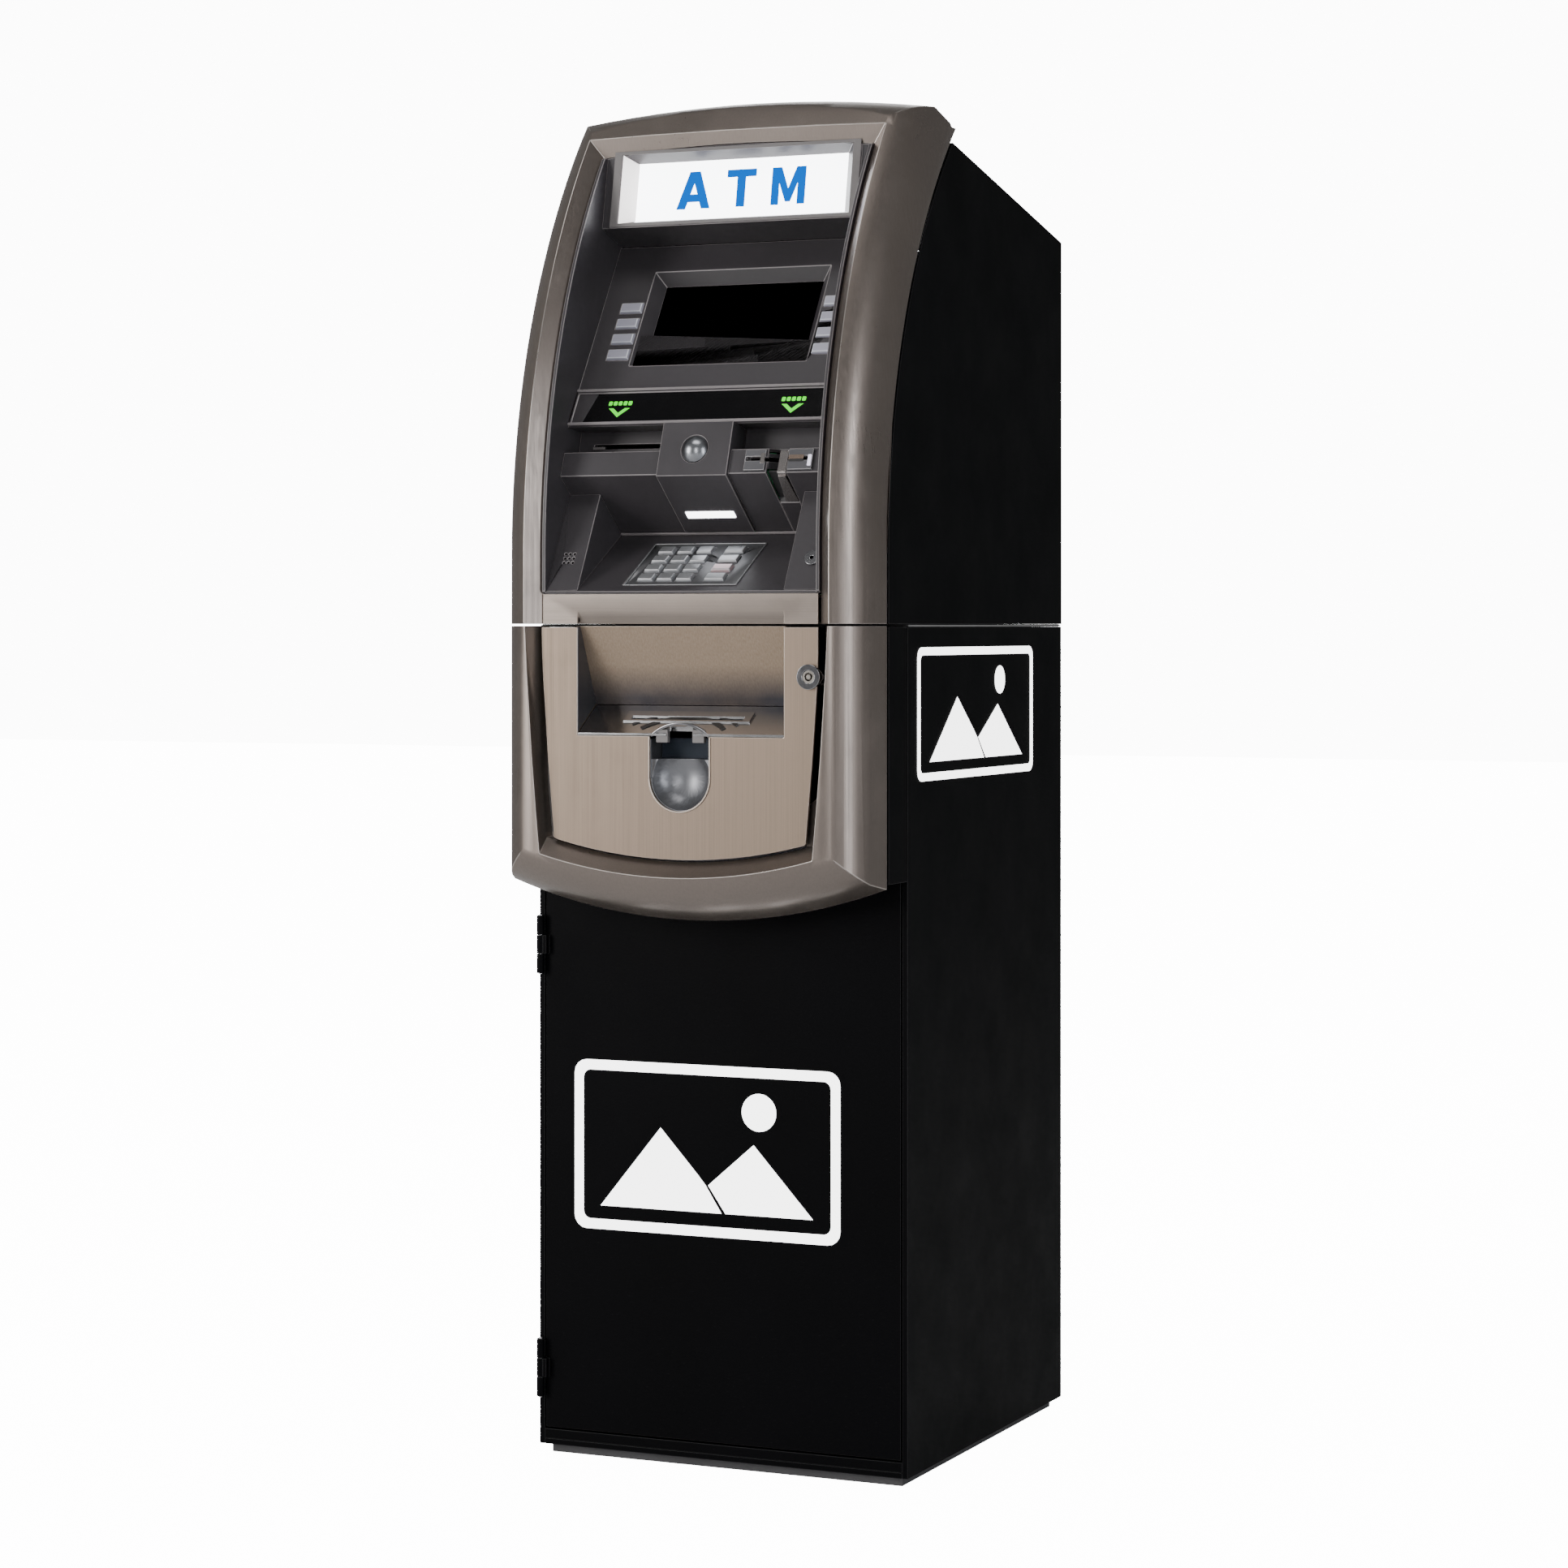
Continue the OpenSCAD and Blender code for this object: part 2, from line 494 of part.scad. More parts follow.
module key_lock_barrel() color([0.75, 0.73, 0.7]) placed() difference() {
  union() {
    ycyl(12.5, -99, face_y, 142, 811);
    ycyl(9.2, face_y, -62, 142, 811);
    ycyl(11, -92, -88, 142, 811);
  }
  ycyl(6.56, -100, -60, 142, 811);
}
module key_lock_plug() color([0.8, 0.78, 0.74]) placed() difference() {
  union() {
    ycyl(6.5, -98, -45.5, 142, 811);
    // cam, hanging down when unlocked
    ycyl(6.5, -45.4, -42.6, 142, 811);
    box(136.5, 147.5, -45.4, -42.6, 786, 811);
  }
  difference() { ycyl(4.2, -99, -92, 142, 811); ycyl(2.4, -100, -91, 142, 811); }
}

// ---------------------------------------------------------------- upper fascia
module cut_lcd() { on(lcd_bot, lcd_tau) translate([0, 13, 134.4]) mirror([0, 1, 0]) frustum(screen_w, screen_h, 14, 12, 12); }
// seats of the eight side keys
module side_keys(g, y0, y1) { for (s = [-1, 1], i = [0:3]) on(lcd_bot, lcd_tau) box(s * 115.5 - fdk_w / 2 - g, s * 115.5 + fdk_w / 2 + g, y0, y1, 89.3 + 19.7 * i - fdk_h / 2 - g, 89.3 + 19.7 * i + fdk_h / 2 + g); }
// top moulding around the sign, with the soffit below it
module sign_frame() difference() {
  union() {
    xprism(strip([[44, 1358], [29, 1275], [74, 1259]], -3), -149.4, 149.4);
    on([29, 1275], 10.3) box(-140, 140, -2, 14.4, 0.5, 82);
  }
  on([29, 1275], 10.3) translate([0, 14.5, 41]) mirror([0, 1, 0]) frustum(238, 62, 18, 13, 7);
  // stays under the arched bezel
  difference() { box(-160, 160, 0, 70, 1330, 1380); translate([0, 0, top_z]) rotate([90, 0, 0]) cylinder(r = 1373.6, h = 400, center = true, $fn = 180); }
}
// moulding around the screen, side keys and indicator strip
module screen_frame() difference() {
  union() {
    xprism(strip([lcd_top + dir(lcd_top, lcd_bot) * 0.15, lcd_bot, [-18.1, 1060]], -3), -149.4, 149.4);
    on(lcd_bot, lcd_tau) {
      box(-102, 102, 1, 13, 73, 196);
      box(-149.4, 149.4, -3, 0.5, 0, 3.4);
      box(-149.4, 149.4, -3, 0.5, 41.5, 44.5);
    }
  }
  cut_lcd();
  side_keys(0.4, -1, 6);
  on(lcd_bot, lcd_tau) box(-147, 147, -1, 5, 4.5, 40.5);
}
// blocks beside the camera that hold the receipt and card slots, from x0 to x1
module slot_block(x0, x1) xprism(strip([[-24, 1038], block_top, block_bot, shelf_back + dir(shelf_back, block_bot) * 0.15], -3), x0, x1);
module camera_block() difference() {
  xprism([[-50.46, 1067], [-69, 1012], [-1, 957], [6, 958], [-30, 990], [-30, 1030], [-24.3, 1038.2], [-18.5, 1059.6], [-47.06, 1064.8]], -39, 39);
  on([-60, 1039], 18.3) ycyl(14.7, -20, 21, 0, 0);
  xprism([[-29, 989.2], [-24.8, 974], [-19, 969.5], [-13, 974.2]], -27, 27);
}
module control_panel() color([0.26, 0.25, 0.27]) placed() {
  sign_frame();
  screen_frame();
  // side walls out to the bezel
  for (s = [-1, 1]) difference() {
    xprism(concat([for (i = [0:20]) let(z = 896 + (1357.5 - 896) * i / 20) [z < bow_z ? -97.5 : bow_y - sqrt(721.5 * 721.5 - (z - bow_z) * (z - bow_z)), z]],
      shifted(panel_pts, -3)), s > 0 ? 149.5 : -153.2, s > 0 ? 153.2 : -149.5);
    difference() { box(-160, 160, 0, 70, 1330, 1380); translate([0, 0, top_z]) rotate([90, 0, 0]) cylinder(r = 1373.6, h = 400, center = true, $fn = 180); }
  }
  // back of the gap, with the receipt slot
  difference() {
    xprism(strip([[-17.1, 1063], [-23.9, 1038.07]], -3), -149.4, 149.4);
    box(-132, -46, -60, 0, 1042, 1047);
  }
  slot_block(-149.4, -39.1);
  for (x = [[39.1, 80.95], [103.05, 149.4]]) difference() {
    slot_block(x[0], x[1]);
    on(block_bot, 20.2) box(58, 130, -4, 12, 12, 16.5);
  }
  difference() { slot_block(81.05, 102.95); box(80, 104, -80, -30, 950, 1050); }
  camera_block();
  // shelf with the keypad opening, and the cheeks beside it
  difference() {
    xprism(strip([shelf_back, shelf_front], -3), -149.4, 149.4);
    on(shelf_front, shelf_tau) box(-66, 58, -1, 12, 12, 96);
  }
  for (s = [-1, 1]) difference() {
    xprism([[-95.79, 896.4], [-43.63, 995.55], [5.4, 955.2]], s > 0 ? 114 : -149.4, s > 0 ? 149.4 : -114);
    // jack and the sound holes
    on(shelf_front, cheek_tau) { ycyl(5.1, -5, 20, 138, 36); for (i = [-1:1], j = [-1:1]) ycyl(1.4, -5, 20, -132 + i * 5, 38 + j * 5); }
  }
}
module ledge_trim() color([0.6, 0.55, 0.5]) placed() difference() {
  union() {
    box(-153.2, 151, face_y, -92, seam_z + 1, 893.2);
    box(-153.2, 151, -92, -84, 889, 892);
    box(-153.2, 151, -92, -60, seam_z + 1, seam_z + 3);
    // slope under the notch
    xprism([[-95, 876], [-92, 877], [-85.5, seam_z + 1], [-89, seam_z + 1]], -114, 114);
  }
  xprism([[-130, 896], [-95, 876], [-88.6, seam_z + 0.5], [-88.6, 840], [-130, 840]], -114, 114);
}
function bar(x, z, w, h) = [[x, z], [x + w, z], [x + w, z + h], [x, z + h]];
module sign_panel() color([0.95, 0.96, 0.98]) placed() on([29, 1275], 10.3) {
  difference() {
    box(-124, 124, 14.6, 40, 6, 76);
    box(-120, 120, 17.5, 41, 10, 72);
  }
  // letters in relief
  color([0.35, 0.65, 0.92]) translate([0, 0, 41]) {
    yprism([[-74, -20], [-66, -20], [-62.5, -11], [-49.5, -11], [-46, -20], [-38, -20], [-51, 20], [-61, 20]], 14.1, 14.6);
    yprism([[-19, 13], [-6.5, 13], [-6.5, -20], [1.5, -20], [1.5, 13], [14, 13], [14, 20], [-19, 20]], 14.1, 14.6);
    yprism([[33, -20], [40, -20], [40, 6], [48.5, -16], [53.5, -16], [62, 6], [62, -20], [69, -20], [69, 20], [60, 20], [51, -3], [42, 20], [33, 20]], 14.1, 14.6);
  }
}
module screen() color([0.01, 0.01, 0.012]) placed() on(lcd_bot, lcd_tau) {
  box(-screen_w / 2 - 5, screen_w / 2 + 5, 13.1, 16, 134.4 - screen_h / 2 - 5, 134.4 + screen_h / 2 + 5);
  box(-screen_w / 2 - 8, screen_w / 2 + 8, 16, 34, 134.4 - screen_h / 2 - 8, 134.4 + screen_h / 2 + 8);
}
module indicator_panel() color([0.03, 0.03, 0.035]) placed() on(lcd_bot, lcd_tau) {
  difference() {
    box(-146.7, 146.7, 0.6, 4.5, 4.8, 40.2);
    for (s = [-1, 1]) translate([s * 97, 0, 20]) yprism([[-13, 4], [0, -9], [13, 4], [13, 9], [0, -3], [-13, 9]], 0, 1.4);
  }
  color([0.3, 0.9, 0.2]) for (s = [-1, 1]) translate([s * 97, 0, 20]) yprism([[-13, 4], [0, -9], [13, 4], [13, 9], [0, -3], [-13, 9]], 0.7, 1.4);
}
module camera_dome() color([0.12, 0.12, 0.14]) placed() on([-60, 1039], 18.3) {
  intersection() { translate([0, 8, 0]) sphere(r = 16.5, $fn = 64); ycyl(14.4, -20, 8, 0, 0); }
  difference() { ycyl(14.4, 8, 20, 0, 0); }
}
module card_reader() color([0.35, 0.36, 0.38]) placed() {
  // bezel plates beside the thumb notch, and the transport behind
  on(block_bot, 20.2) {
    difference() { box(57, 79.5, -3, -0.15, 2, 24); box(58, 90, -4, 1, 12, 16.5); }
    difference() { box(104.5, 131, -3, -0.15, 2, 24); box(90, 130, -4, 1, 12, 16.5); }
  }
  for (x = [[57.5, 80.7], [103.3, 130.5]]) difference() {
    xprism([[-60, 1017.6], [-54.3, 1033], [-27.1, 1033], [-27.1, 1017.6]], x[0], x[1]);
    box(61, 127, -90, 110, 1024.9, 1029.2);
  }
  difference() {
    xprism([[-26.9, 1017.6], [-26.9, 1033], [12, 1033], [12, 1044], [120, 1044], [120, 1010], [12, 1010], [12, 1017.6]], 57.5, 130.5);
    box(61, 127, -90, 110, 1024.9, 1029.2);
  }
}
module receipt_printer() color([0.2, 0.2, 0.22]) placed() {
  difference() {
    union() { box(-134, -46, 2, 60, 1016, 1054); xprism([[-15, 1058], [-20, 1039.5], [4, 1039.5], [4, 1054], [2, 1058]], -134, -46); }
    box(-131, -49, -30, 30, 1042.5, 1046.5);
  }
  for (x = [-134, -50]) difference() {
    box(x, x + 4, 60, 150, 1016, 1080);
    xcyl(6.06, x - 1, x + 5, 112, 1052);
  }
  box(-130, -50, 60, 70, 1016, 1024);
}
module paper_roll() color([0.93, 0.93, 0.9]) placed() {
  difference() { xcyl(26, -129, -51, 112, 1052); xcyl(6, -130, -50, 112, 1052); }
  color([0.3, 0.3, 0.3]) xcyl(6, -135, -45, 112, 1052);
}
// positions of the keypad keys: column, row from the top
col_x = [-46.5, -25, -3.5, 30];
function row_s(r) = 54 + (1.5 - r) * 18.5;
module keypad_plate() color([0.4, 0.41, 0.43]) placed() on(shelf_front, shelf_tau) difference() {
  union() {
    box(-65.6, 57.6, 0, 12, 12.4, 95.6);
    box(-60, 52, 12, 30, 20, 90);
    difference() { box(-67, 59, -1, 0, 11, 97); box(-65.6, 57.6, -2, 1, 12.4, 95.6); }
  }
  for (c = [0:3], r = [0:3]) let(w = c == 3 ? cmd_w : key_w) box(col_x[c] - w / 2 - 0.4, col_x[c] + w / 2 + 0.4, -1, 8, row_s(r) - key_h / 2 - 0.4, row_s(r) + key_h / 2 + 0.4);
}
module headphone_jack() color([0.75, 0.76, 0.78]) placed() on(shelf_front, cheek_tau) difference() {
  union() { ycyl(8, -2.2, -0.15, 138, 36); ycyl(5, -1, 16, 138, 36); }
  ycyl(1.8, -3, 12, 138, 36);
}
module light_bar() color([0.95, 0.97, 1]) placed() xprism([[-28.4, 988], [-24.6, 974.6], [-19, 970.2], [-14, 974.2]], -26.7, 26.7);
// a keycap with a sloping rim, standing h proud and reaching t into its seat
module cap(x, s, w, l, h, t) { translate([x, 0, s]) { translate([0, -h, 0]) frustum(w - 2.4, l - 2.4, h, 1.2, 1.2); translate([-w / 2, 0, -l / 2]) cube([w, t, l]); } }
module side_key(s, i) color([0.66, 0.67, 0.72]) placed() on(lcd_bot, lcd_tau) cap(s * 115.5, 89.3 + 19.7 * i, fdk_w, fdk_h, 2.4, 4.3);
module pad_key(c, r, tint) color(tint) placed() on(shelf_front, shelf_tau) cap(col_x[c], row_s(r), c == 3 ? cmd_w : key_w, key_h, 3, 6.3);
steel = [0.68, 0.69, 0.7];

vault_cabinet();
base_plinth();
hood_shell();
power_inlet();
power_supply();
controller();
dispenser_frame();
cash_cassette();
pick_roller();
dispenser_motor();
bill_chute();
hinge_pins();
vault_door();
lock_bolts();
vault_handle();
combination_dial();
fascia_hinge_pins();
lower_bezel();
dispenser_panel();
cash_tray();
finger_scoop();
key_lock_barrel();
key_lock_plug();
upper_bezel();
control_panel();
ledge_trim();
sign_panel();
screen();
indicator_panel();
camera_dome();
card_reader();
receipt_printer();
paper_roll();
keypad_plate();
headphone_jack();
light_bar();
side_key(-1, 3);  // side_key_l1
side_key(-1, 2);  // side_key_l2
side_key(-1, 1);  // side_key_l3
side_key(-1, 0);  // side_key_l4
side_key(1, 3);  // side_key_r1
side_key(1, 2);  // side_key_r2
side_key(1, 1);  // side_key_r3
side_key(1, 0);  // side_key_r4
pad_key(0, 0, steel);  // key_1
pad_key(1, 0, steel);  // key_2
pad_key(2, 0, steel);  // key_3
pad_key(3, 0, [0.7, 0.71, 0.72]);  // key_cancel
pad_key(0, 1, steel);  // key_4
pad_key(1, 1, steel);  // key_5
pad_key(2, 1, steel);  // key_6
pad_key(3, 1, [0.7, 0.71, 0.72]);  // key_clear
pad_key(0, 2, steel);  // key_7
pad_key(1, 2, steel);  // key_8
pad_key(2, 2, steel);  // key_9
pad_key(3, 2, [0.7, 0.6, 0.62]);  // key_enter
pad_key(0, 3, steel);  // key_left_blank
pad_key(1, 3, steel);  // key_0
pad_key(2, 3, steel);  // key_right_blank
pad_key(3, 3, [0.7, 0.71, 0.72]);  // key_lower_blank
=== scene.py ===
import bpy, bmesh, math, json
from mathutils import Vector, Matrix


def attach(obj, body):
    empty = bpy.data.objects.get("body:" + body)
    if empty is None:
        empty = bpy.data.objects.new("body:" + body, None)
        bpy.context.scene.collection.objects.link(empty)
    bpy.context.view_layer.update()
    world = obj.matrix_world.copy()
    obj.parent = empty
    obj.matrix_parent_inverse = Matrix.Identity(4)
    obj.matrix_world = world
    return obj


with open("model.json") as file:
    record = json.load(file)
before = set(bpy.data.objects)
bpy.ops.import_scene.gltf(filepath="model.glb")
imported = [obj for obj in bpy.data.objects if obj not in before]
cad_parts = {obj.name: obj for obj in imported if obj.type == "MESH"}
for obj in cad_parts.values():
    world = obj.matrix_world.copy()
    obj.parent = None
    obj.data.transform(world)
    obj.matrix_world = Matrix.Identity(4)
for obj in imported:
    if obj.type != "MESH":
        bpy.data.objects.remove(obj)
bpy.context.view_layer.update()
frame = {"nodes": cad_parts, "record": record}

nodes = frame["nodes"]
YS = 0.1685          # front plane of the cabinet lies at y = -YS
BODY = {n: b for b, ns in frame["record"]["behaviour"]["bodies"].items() for n in ns}


def P(x, y, z):
    """A point given in millimetres from the cabinet's front plane."""
    return Vector((x / 1000, y / 1000 - YS, z / 1000))


def on(p, tau, x, y, z):
    """A point on a surface through p = (y, z) that leans back by tau radians: y goes in, z up the slope."""
    c, s = math.cos(tau), math.sin(tau)
    return P(x, p[0] + y * c + z * s, p[1] - y * s + z * c)


LCD = (-47, 1065); LCD_TAU = math.atan((74 + 47) / (1259 - 1065))
SHELF = (-96, 896); SHELF_TAU = math.atan(102 / 59)
CHEEK_TAU = math.atan(52.5 / 99.8)
BLOCK = (-65, 1013.5); BLOCK_TAU = math.radians(20.2)
SIGN = (29, 1275); SIGN_TAU = math.radians(10.3)

# ------------------------------------------------------------------ materials
MATS = {}


def node_mat(name):
    m = bpy.data.materials.new(name)
    m.use_nodes = True
    nt = m.node_tree
    nt.nodes.clear()
    out = nt.nodes.new("ShaderNodeOutputMaterial")
    b = nt.nodes.new("ShaderNodeBsdfPrincipled")
    nt.links.new(b.outputs[0], out.inputs[0])
    return m, nt, b


def tex(nt, kind="noise", scale=50.0, detail=4.0, rough=0.55, stretch=(1, 1, 1), turn=(0, 0, 0)):
    co = nt.nodes.new("ShaderNodeTexCoord")
    mp = nt.nodes.new("ShaderNodeMapping")
    mp.inputs["Scale"].default_value = stretch
    mp.inputs["Rotation"].default_value = turn
    nt.links.new(co.outputs["Object"], mp.inputs["Vector"])
    if kind == "noise":
        n = nt.nodes.new("ShaderNodeTexNoise")
        n.inputs["Detail"].default_value = detail
        n.inputs["Roughness"].default_value = rough
        o = "Fac"
    else:
        n = nt.nodes.new("ShaderNodeTexVoronoi")
        o = "Distance"
    n.inputs["Scale"].default_value = scale
    nt.links.new(mp.outputs[0], n.inputs["Vector"])
    return n.outputs[o]


def ramp(nt, fac, a, b, lo=0.3, hi=0.7):
    r = nt.nodes.new("ShaderNodeMapRange")
    r.inputs["From Min"].default_value = lo
    r.inputs["From Max"].default_value = hi
    r.inputs["To Min"].default_value = a
    r.inputs["To Max"].default_value = b
    nt.links.new(fac, r.inputs["Value"])
    return r.outputs[0]


def set_mix(nt, fac, a, b):
    """Mix of two colours by a factor socket."""
    m = nt.nodes.new("ShaderNodeMix")
    m.data_type = "RGBA"
    nt.links.new(fac, m.inputs[0])
    ins = [s for s in m.inputs if s.type == "RGBA"]
    for sock, v in zip(ins, (a, b)):
        if isinstance(v, (tuple, list)):
            sock.default_value = (*v[:3], 1)
        else:
            nt.links.new(v, sock)
    return [o for o in m.outputs if o.type == "RGBA"][0]


def surface(name, color, rough=0.5, metallic=0.0, spec=0.5, coat=0.0, coat_rough=0.15, var=0.12, var_scale=9.0, rough_var=0.12,
            grain=900.0, bump=0.08, depth=0.00008, streak=None, streak_amt=0.25, aniso=0.0, emit=None, emit_s=0.0, smudge=True, speck=None):
    """Procedural surface: slow colour drift, smudged roughness, fine grain, and brushed streaks where asked."""
    if name in MATS:
        return MATS[name]
    m, nt, b = node_mat(name)
    dark = tuple(c * (1 - var) for c in color)
    light = tuple(min(1, c * (1 + var)) for c in color)
    slow = tex(nt, scale=var_scale, detail=3)
    col = set_mix(nt, ramp(nt, slow, 0, 1, 0.32, 0.68), dark, light)
    if speck:
        fl = tex(nt, "voronoi", scale=speck[0])
        col = set_mix(nt, ramp(nt, fl, speck[1], 0, 0.0, 0.5), col, speck[2])
    height = tex(nt, scale=grain, detail=2)
    r = ramp(nt, tex(nt, scale=var_scale * 3.1, detail=5), rough - rough_var * rough, rough + rough_var * rough)
    if streak:
        st = tex(nt, scale=1.0, detail=3, stretch=streak)
        col = set_mix(nt, ramp(nt, st, 0, streak_amt, 0.35, 0.75), col, tuple(c * 0.55 for c in color))
        add = nt.nodes.new("ShaderNodeMath"); add.operation = "ADD"
        nt.links.new(r, add.inputs[0]); nt.links.new(ramp(nt, st, -0.05, 0.08, 0.3, 0.7), add.inputs[1])
        r = add.outputs[0]
        ad2 = nt.nodes.new("ShaderNodeMath"); ad2.operation = "ADD"
        nt.links.new(height, ad2.inputs[0]); nt.links.new(st, ad2.inputs[1])
        height = ad2.outputs[0]
    if smudge:
        sm = tex(nt, scale=26, detail=6, rough=0.7)
        add = nt.nodes.new("ShaderNodeMath"); add.operation = "ADD"
        nt.links.new(r, add.inputs[0]); nt.links.new(ramp(nt, sm, 0, 0.07, 0.5, 0.72), add.inputs[1])
        r = add.outputs[0]
    nt.links.new(col, b.inputs["Base Color"])
    nt.links.new(r, b.inputs["Roughness"])
    b.inputs["Metallic"].default_value = metallic
    b.inputs["Specular IOR Level"].default_value = spec
    b.inputs["Coat Weight"].default_value = coat
    b.inputs["Coat Roughness"].default_value = coat_rough
    if aniso:
        b.inputs["Anisotropic"].default_value = aniso
    if emit:
        b.inputs["Emission Color"].default_value = (*emit, 1)
        b.inputs["Emission Strength"].default_value = emit_s
    if bump:
        bp = nt.nodes.new("ShaderNodeBump")
        bp.inputs["Strength"].default_value = bump
        bp.inputs["Distance"].default_value = depth
        nt.links.new(height, bp.inputs["Height"])
        nt.links.new(bp.outputs[0], b.inputs["Normal"])
    MATS[name] = m
    return m


VERT = (900, 900, 9)      # streaks that run up and down
HORZ = (9, 700, 900)      # streaks that run across
bezel = surface("bezel_paint", (0.205, 0.175, 0.156), 0.34, 0.85, coat=0.25, coat_rough=0.2, var=0.07, var_scale=3.0, streak=(520, 520, 5), streak_amt=0.12, bump=0.03, depth=0.00005)
# lighter copy of the bezel paint for the bevelled edges: a painted highlight along every edge
bezel_edge_highlight = surface("bezel_edge_highlight", (0.42, 0.385, 0.36), 0.3, 0.9, coat=0.1, var=0.08, bump=0.03)
champagne = surface("panel_metal", (0.25, 0.192, 0.148), 0.42, 0.75, coat=0.12, coat_rough=0.3, var=0.05, var_scale=2.2, streak=(700, 700, 6), streak_amt=0.2, bump=0.04, depth=0.00005)
champagne_h = surface("panel_metal_ledge", (0.25, 0.215, 0.19), 0.36, 0.8, var=0.06, streak=(6, 500, 700), streak_amt=0.2, bump=0.04)
# lighter copy of the panel metal for bevelled edges: a painted highlight along them
champagne_edge_highlight = surface("panel_metal_edge_highlight", (0.46, 0.40, 0.35), 0.32, 0.9, var=0.06, bump=0.03)
black = surface("cabinet_paint", (0.0009, 0.0009, 0.0014), 0.5, 0.0, spec=0.05, var=0.25, var_scale=5, rough_var=0.1, grain=1600, bump=0.06, depth=0.00006, smudge=False)
# lighter, shinier copy of the cabinet paint for bevelled edges: a painted highlight
black_edge_highlight = surface("cabinet_paint_edge_highlight", (0.004, 0.004, 0.005), 0.45, 0.0, spec=0.2, var=0.2, grain=1600, bump=0.06, smudge=False)
plinth = surface("plinth_steel", (0.06, 0.06, 0.064), 0.55, 0.2, var=0.2, bump=0.12)
ctrl = surface("control_plastic", (0.036, 0.033, 0.037), 0.40, 0.0, spec=0.4, coat=0.1, coat_rough=0.35, var=0.12, var_scale=7, grain=1400, bump=0.2, depth=0.00006)
# much lighter copy of the control plastic for edges and thin lines: a painted highlight
ctrl_edge_highlight = surface("control_plastic_edge_highlight", (0.20, 0.185, 0.19), 0.3, 0.0, spec=0.6, var=0.1, bump=0.05)
chrome = surface("tray_chrome", (0.34, 0.34, 0.355), 0.16, 1.0, var=0.05, rough_var=0.4, bump=0.015, smudge=True)
tray_m = surface("tray_polished", (0.42, 0.42, 0.43), 0.2, 1.0, var=0.04, bump=0.0, smudge=False)
dome_m = surface("dome_mirror", (0.26, 0.27, 0.29), 0.3, 1.0, var=0.03, bump=0.0)
scoop_m = surface("scoop_plastic", (0.20, 0.205, 0.22), 0.42, 0.9, coat=0.1, coat_rough=0.2, var=0.06, bump=0.02)
key_m = surface("key_metal", (0.36, 0.34, 0.31), 0.28, 1.0, var=0.08, streak=(60, 60, 60), streak_amt=0.1, bump=0.03)
zinc = surface("zinc_steel", (0.52, 0.53, 0.55), 0.4, 0.95, var=0.14, var_scale=30, streak=(8, 300, 400), streak_amt=0.2, bump=0.04)
bright = surface("bright_steel", (0.66, 0.66, 0.68), 0.28, 1.0, var=0.08, streak=(300, 300, 12), streak_amt=0.2, bump=0.03)
dark_metal = surface("dark_metal", (0.07, 0.07, 0.08), 0.45, 0.5, var=0.2, bump=0.1)
blackp = surface("black_plastic", (0.018, 0.018, 0.019), 0.45, 0.0, var=0.2, grain=1300, bump=0.2)
cassette_m = surface("cassette_plastic", (0.06, 0.066, 0.075), 0.48, 0.0, var=0.15, grain=900, bump=0.25)
board = surface("circuit_board", (0.015, 0.12, 0.045), 0.4, 0.0, var=0.3, var_scale=60, grain=300, bump=0.15, coat=0.3)
sign_m = surface("sign_white", (0.93, 0.94, 0.96), 0.35, 0.0, var=0.02, bump=0.02, emit=(0.95, 0.97, 1.0), emit_s=7.5, smudge=False)
blue_m = surface("sign_blue", (0.0, 0.04, 0.22), 0.6, 0.0, spec=0.0, var=0.04, bump=0.02, emit=(0.0, 0.16, 0.8), emit_s=0.8, smudge=False)
glass_m = surface("screen_glass", (0.0002, 0.0002, 0.0003), 0.6, 0.0, spec=0.0, var=0.3, rough_var=0.2, bump=0.0, smudge=False)
ind_m = surface("indicator_gloss", (0.0015, 0.0015, 0.002), 0.18, 0.0, spec=0.2, coat=0.06, coat_rough=0.08, var=0.2, bump=0.0)
green_m = surface("green_light", (0.03, 0.6, 0.01), 0.4, 0.0, var=0.1, bump=0.0, emit=(0.07, 0.9, 0.01), emit_s=1.0, smudge=False)
reader_m = surface("reader_plastic", (0.13, 0.13, 0.14), 0.22, 0.35, coat=0.5, coat_rough=0.08, var=0.1, bump=0.04)
# lighter copy of the reader plastic for bevelled edges: a painted highlight
reader_edge_highlight = surface("reader_edge_highlight", (0.5, 0.49, 0.5), 0.2, 0.6, var=0.08, bump=0.02)
pad_m = surface("keypad_metal", (0.105, 0.106, 0.112), 0.36, 0.6, var=0.1, grain=1200, bump=0.1)
lamp_m = surface("lamp_white", (0.9, 0.92, 0.95), 0.4, 0.0, var=0.02, bump=0.0, emit=(0.95, 0.97, 1.0), emit_s=7.0, smudge=False)
paper_m = surface("paper_white", (0.86, 0.85, 0.82), 0.75, 0.0, var=0.04, streak=(4, 400, 400), streak_amt=0.12, bump=0.05)
sidek_m = surface("side_key_plastic", (0.36, 0.36, 0.43), 0.33, 0.15, coat=0.2, var=0.07, grain=1000, bump=0.06)
# lighter copy of the side key plastic for bevelled edges: a painted highlight
sidek_edge_highlight = surface("side_key_edge_highlight", (0.62, 0.64, 0.70), 0.3, 0.1, var=0.05, bump=0.02)
keycap_m = surface("key_metal_cap", (0.42, 0.43, 0.45), 0.33, 0.75, var=0.1, var_scale=40, streak=(10, 500, 500), streak_amt=0.15, bump=0.05)
# key cap tone for the keys' bevels; on the darker keypad plate's bevels it is a painted highlight
keycap_edge_and_plate_highlight = surface("key_cap_edge_and_plate_highlight", (0.42, 0.425, 0.44), 0.3, 0.6, var=0.06, bump=0.02)
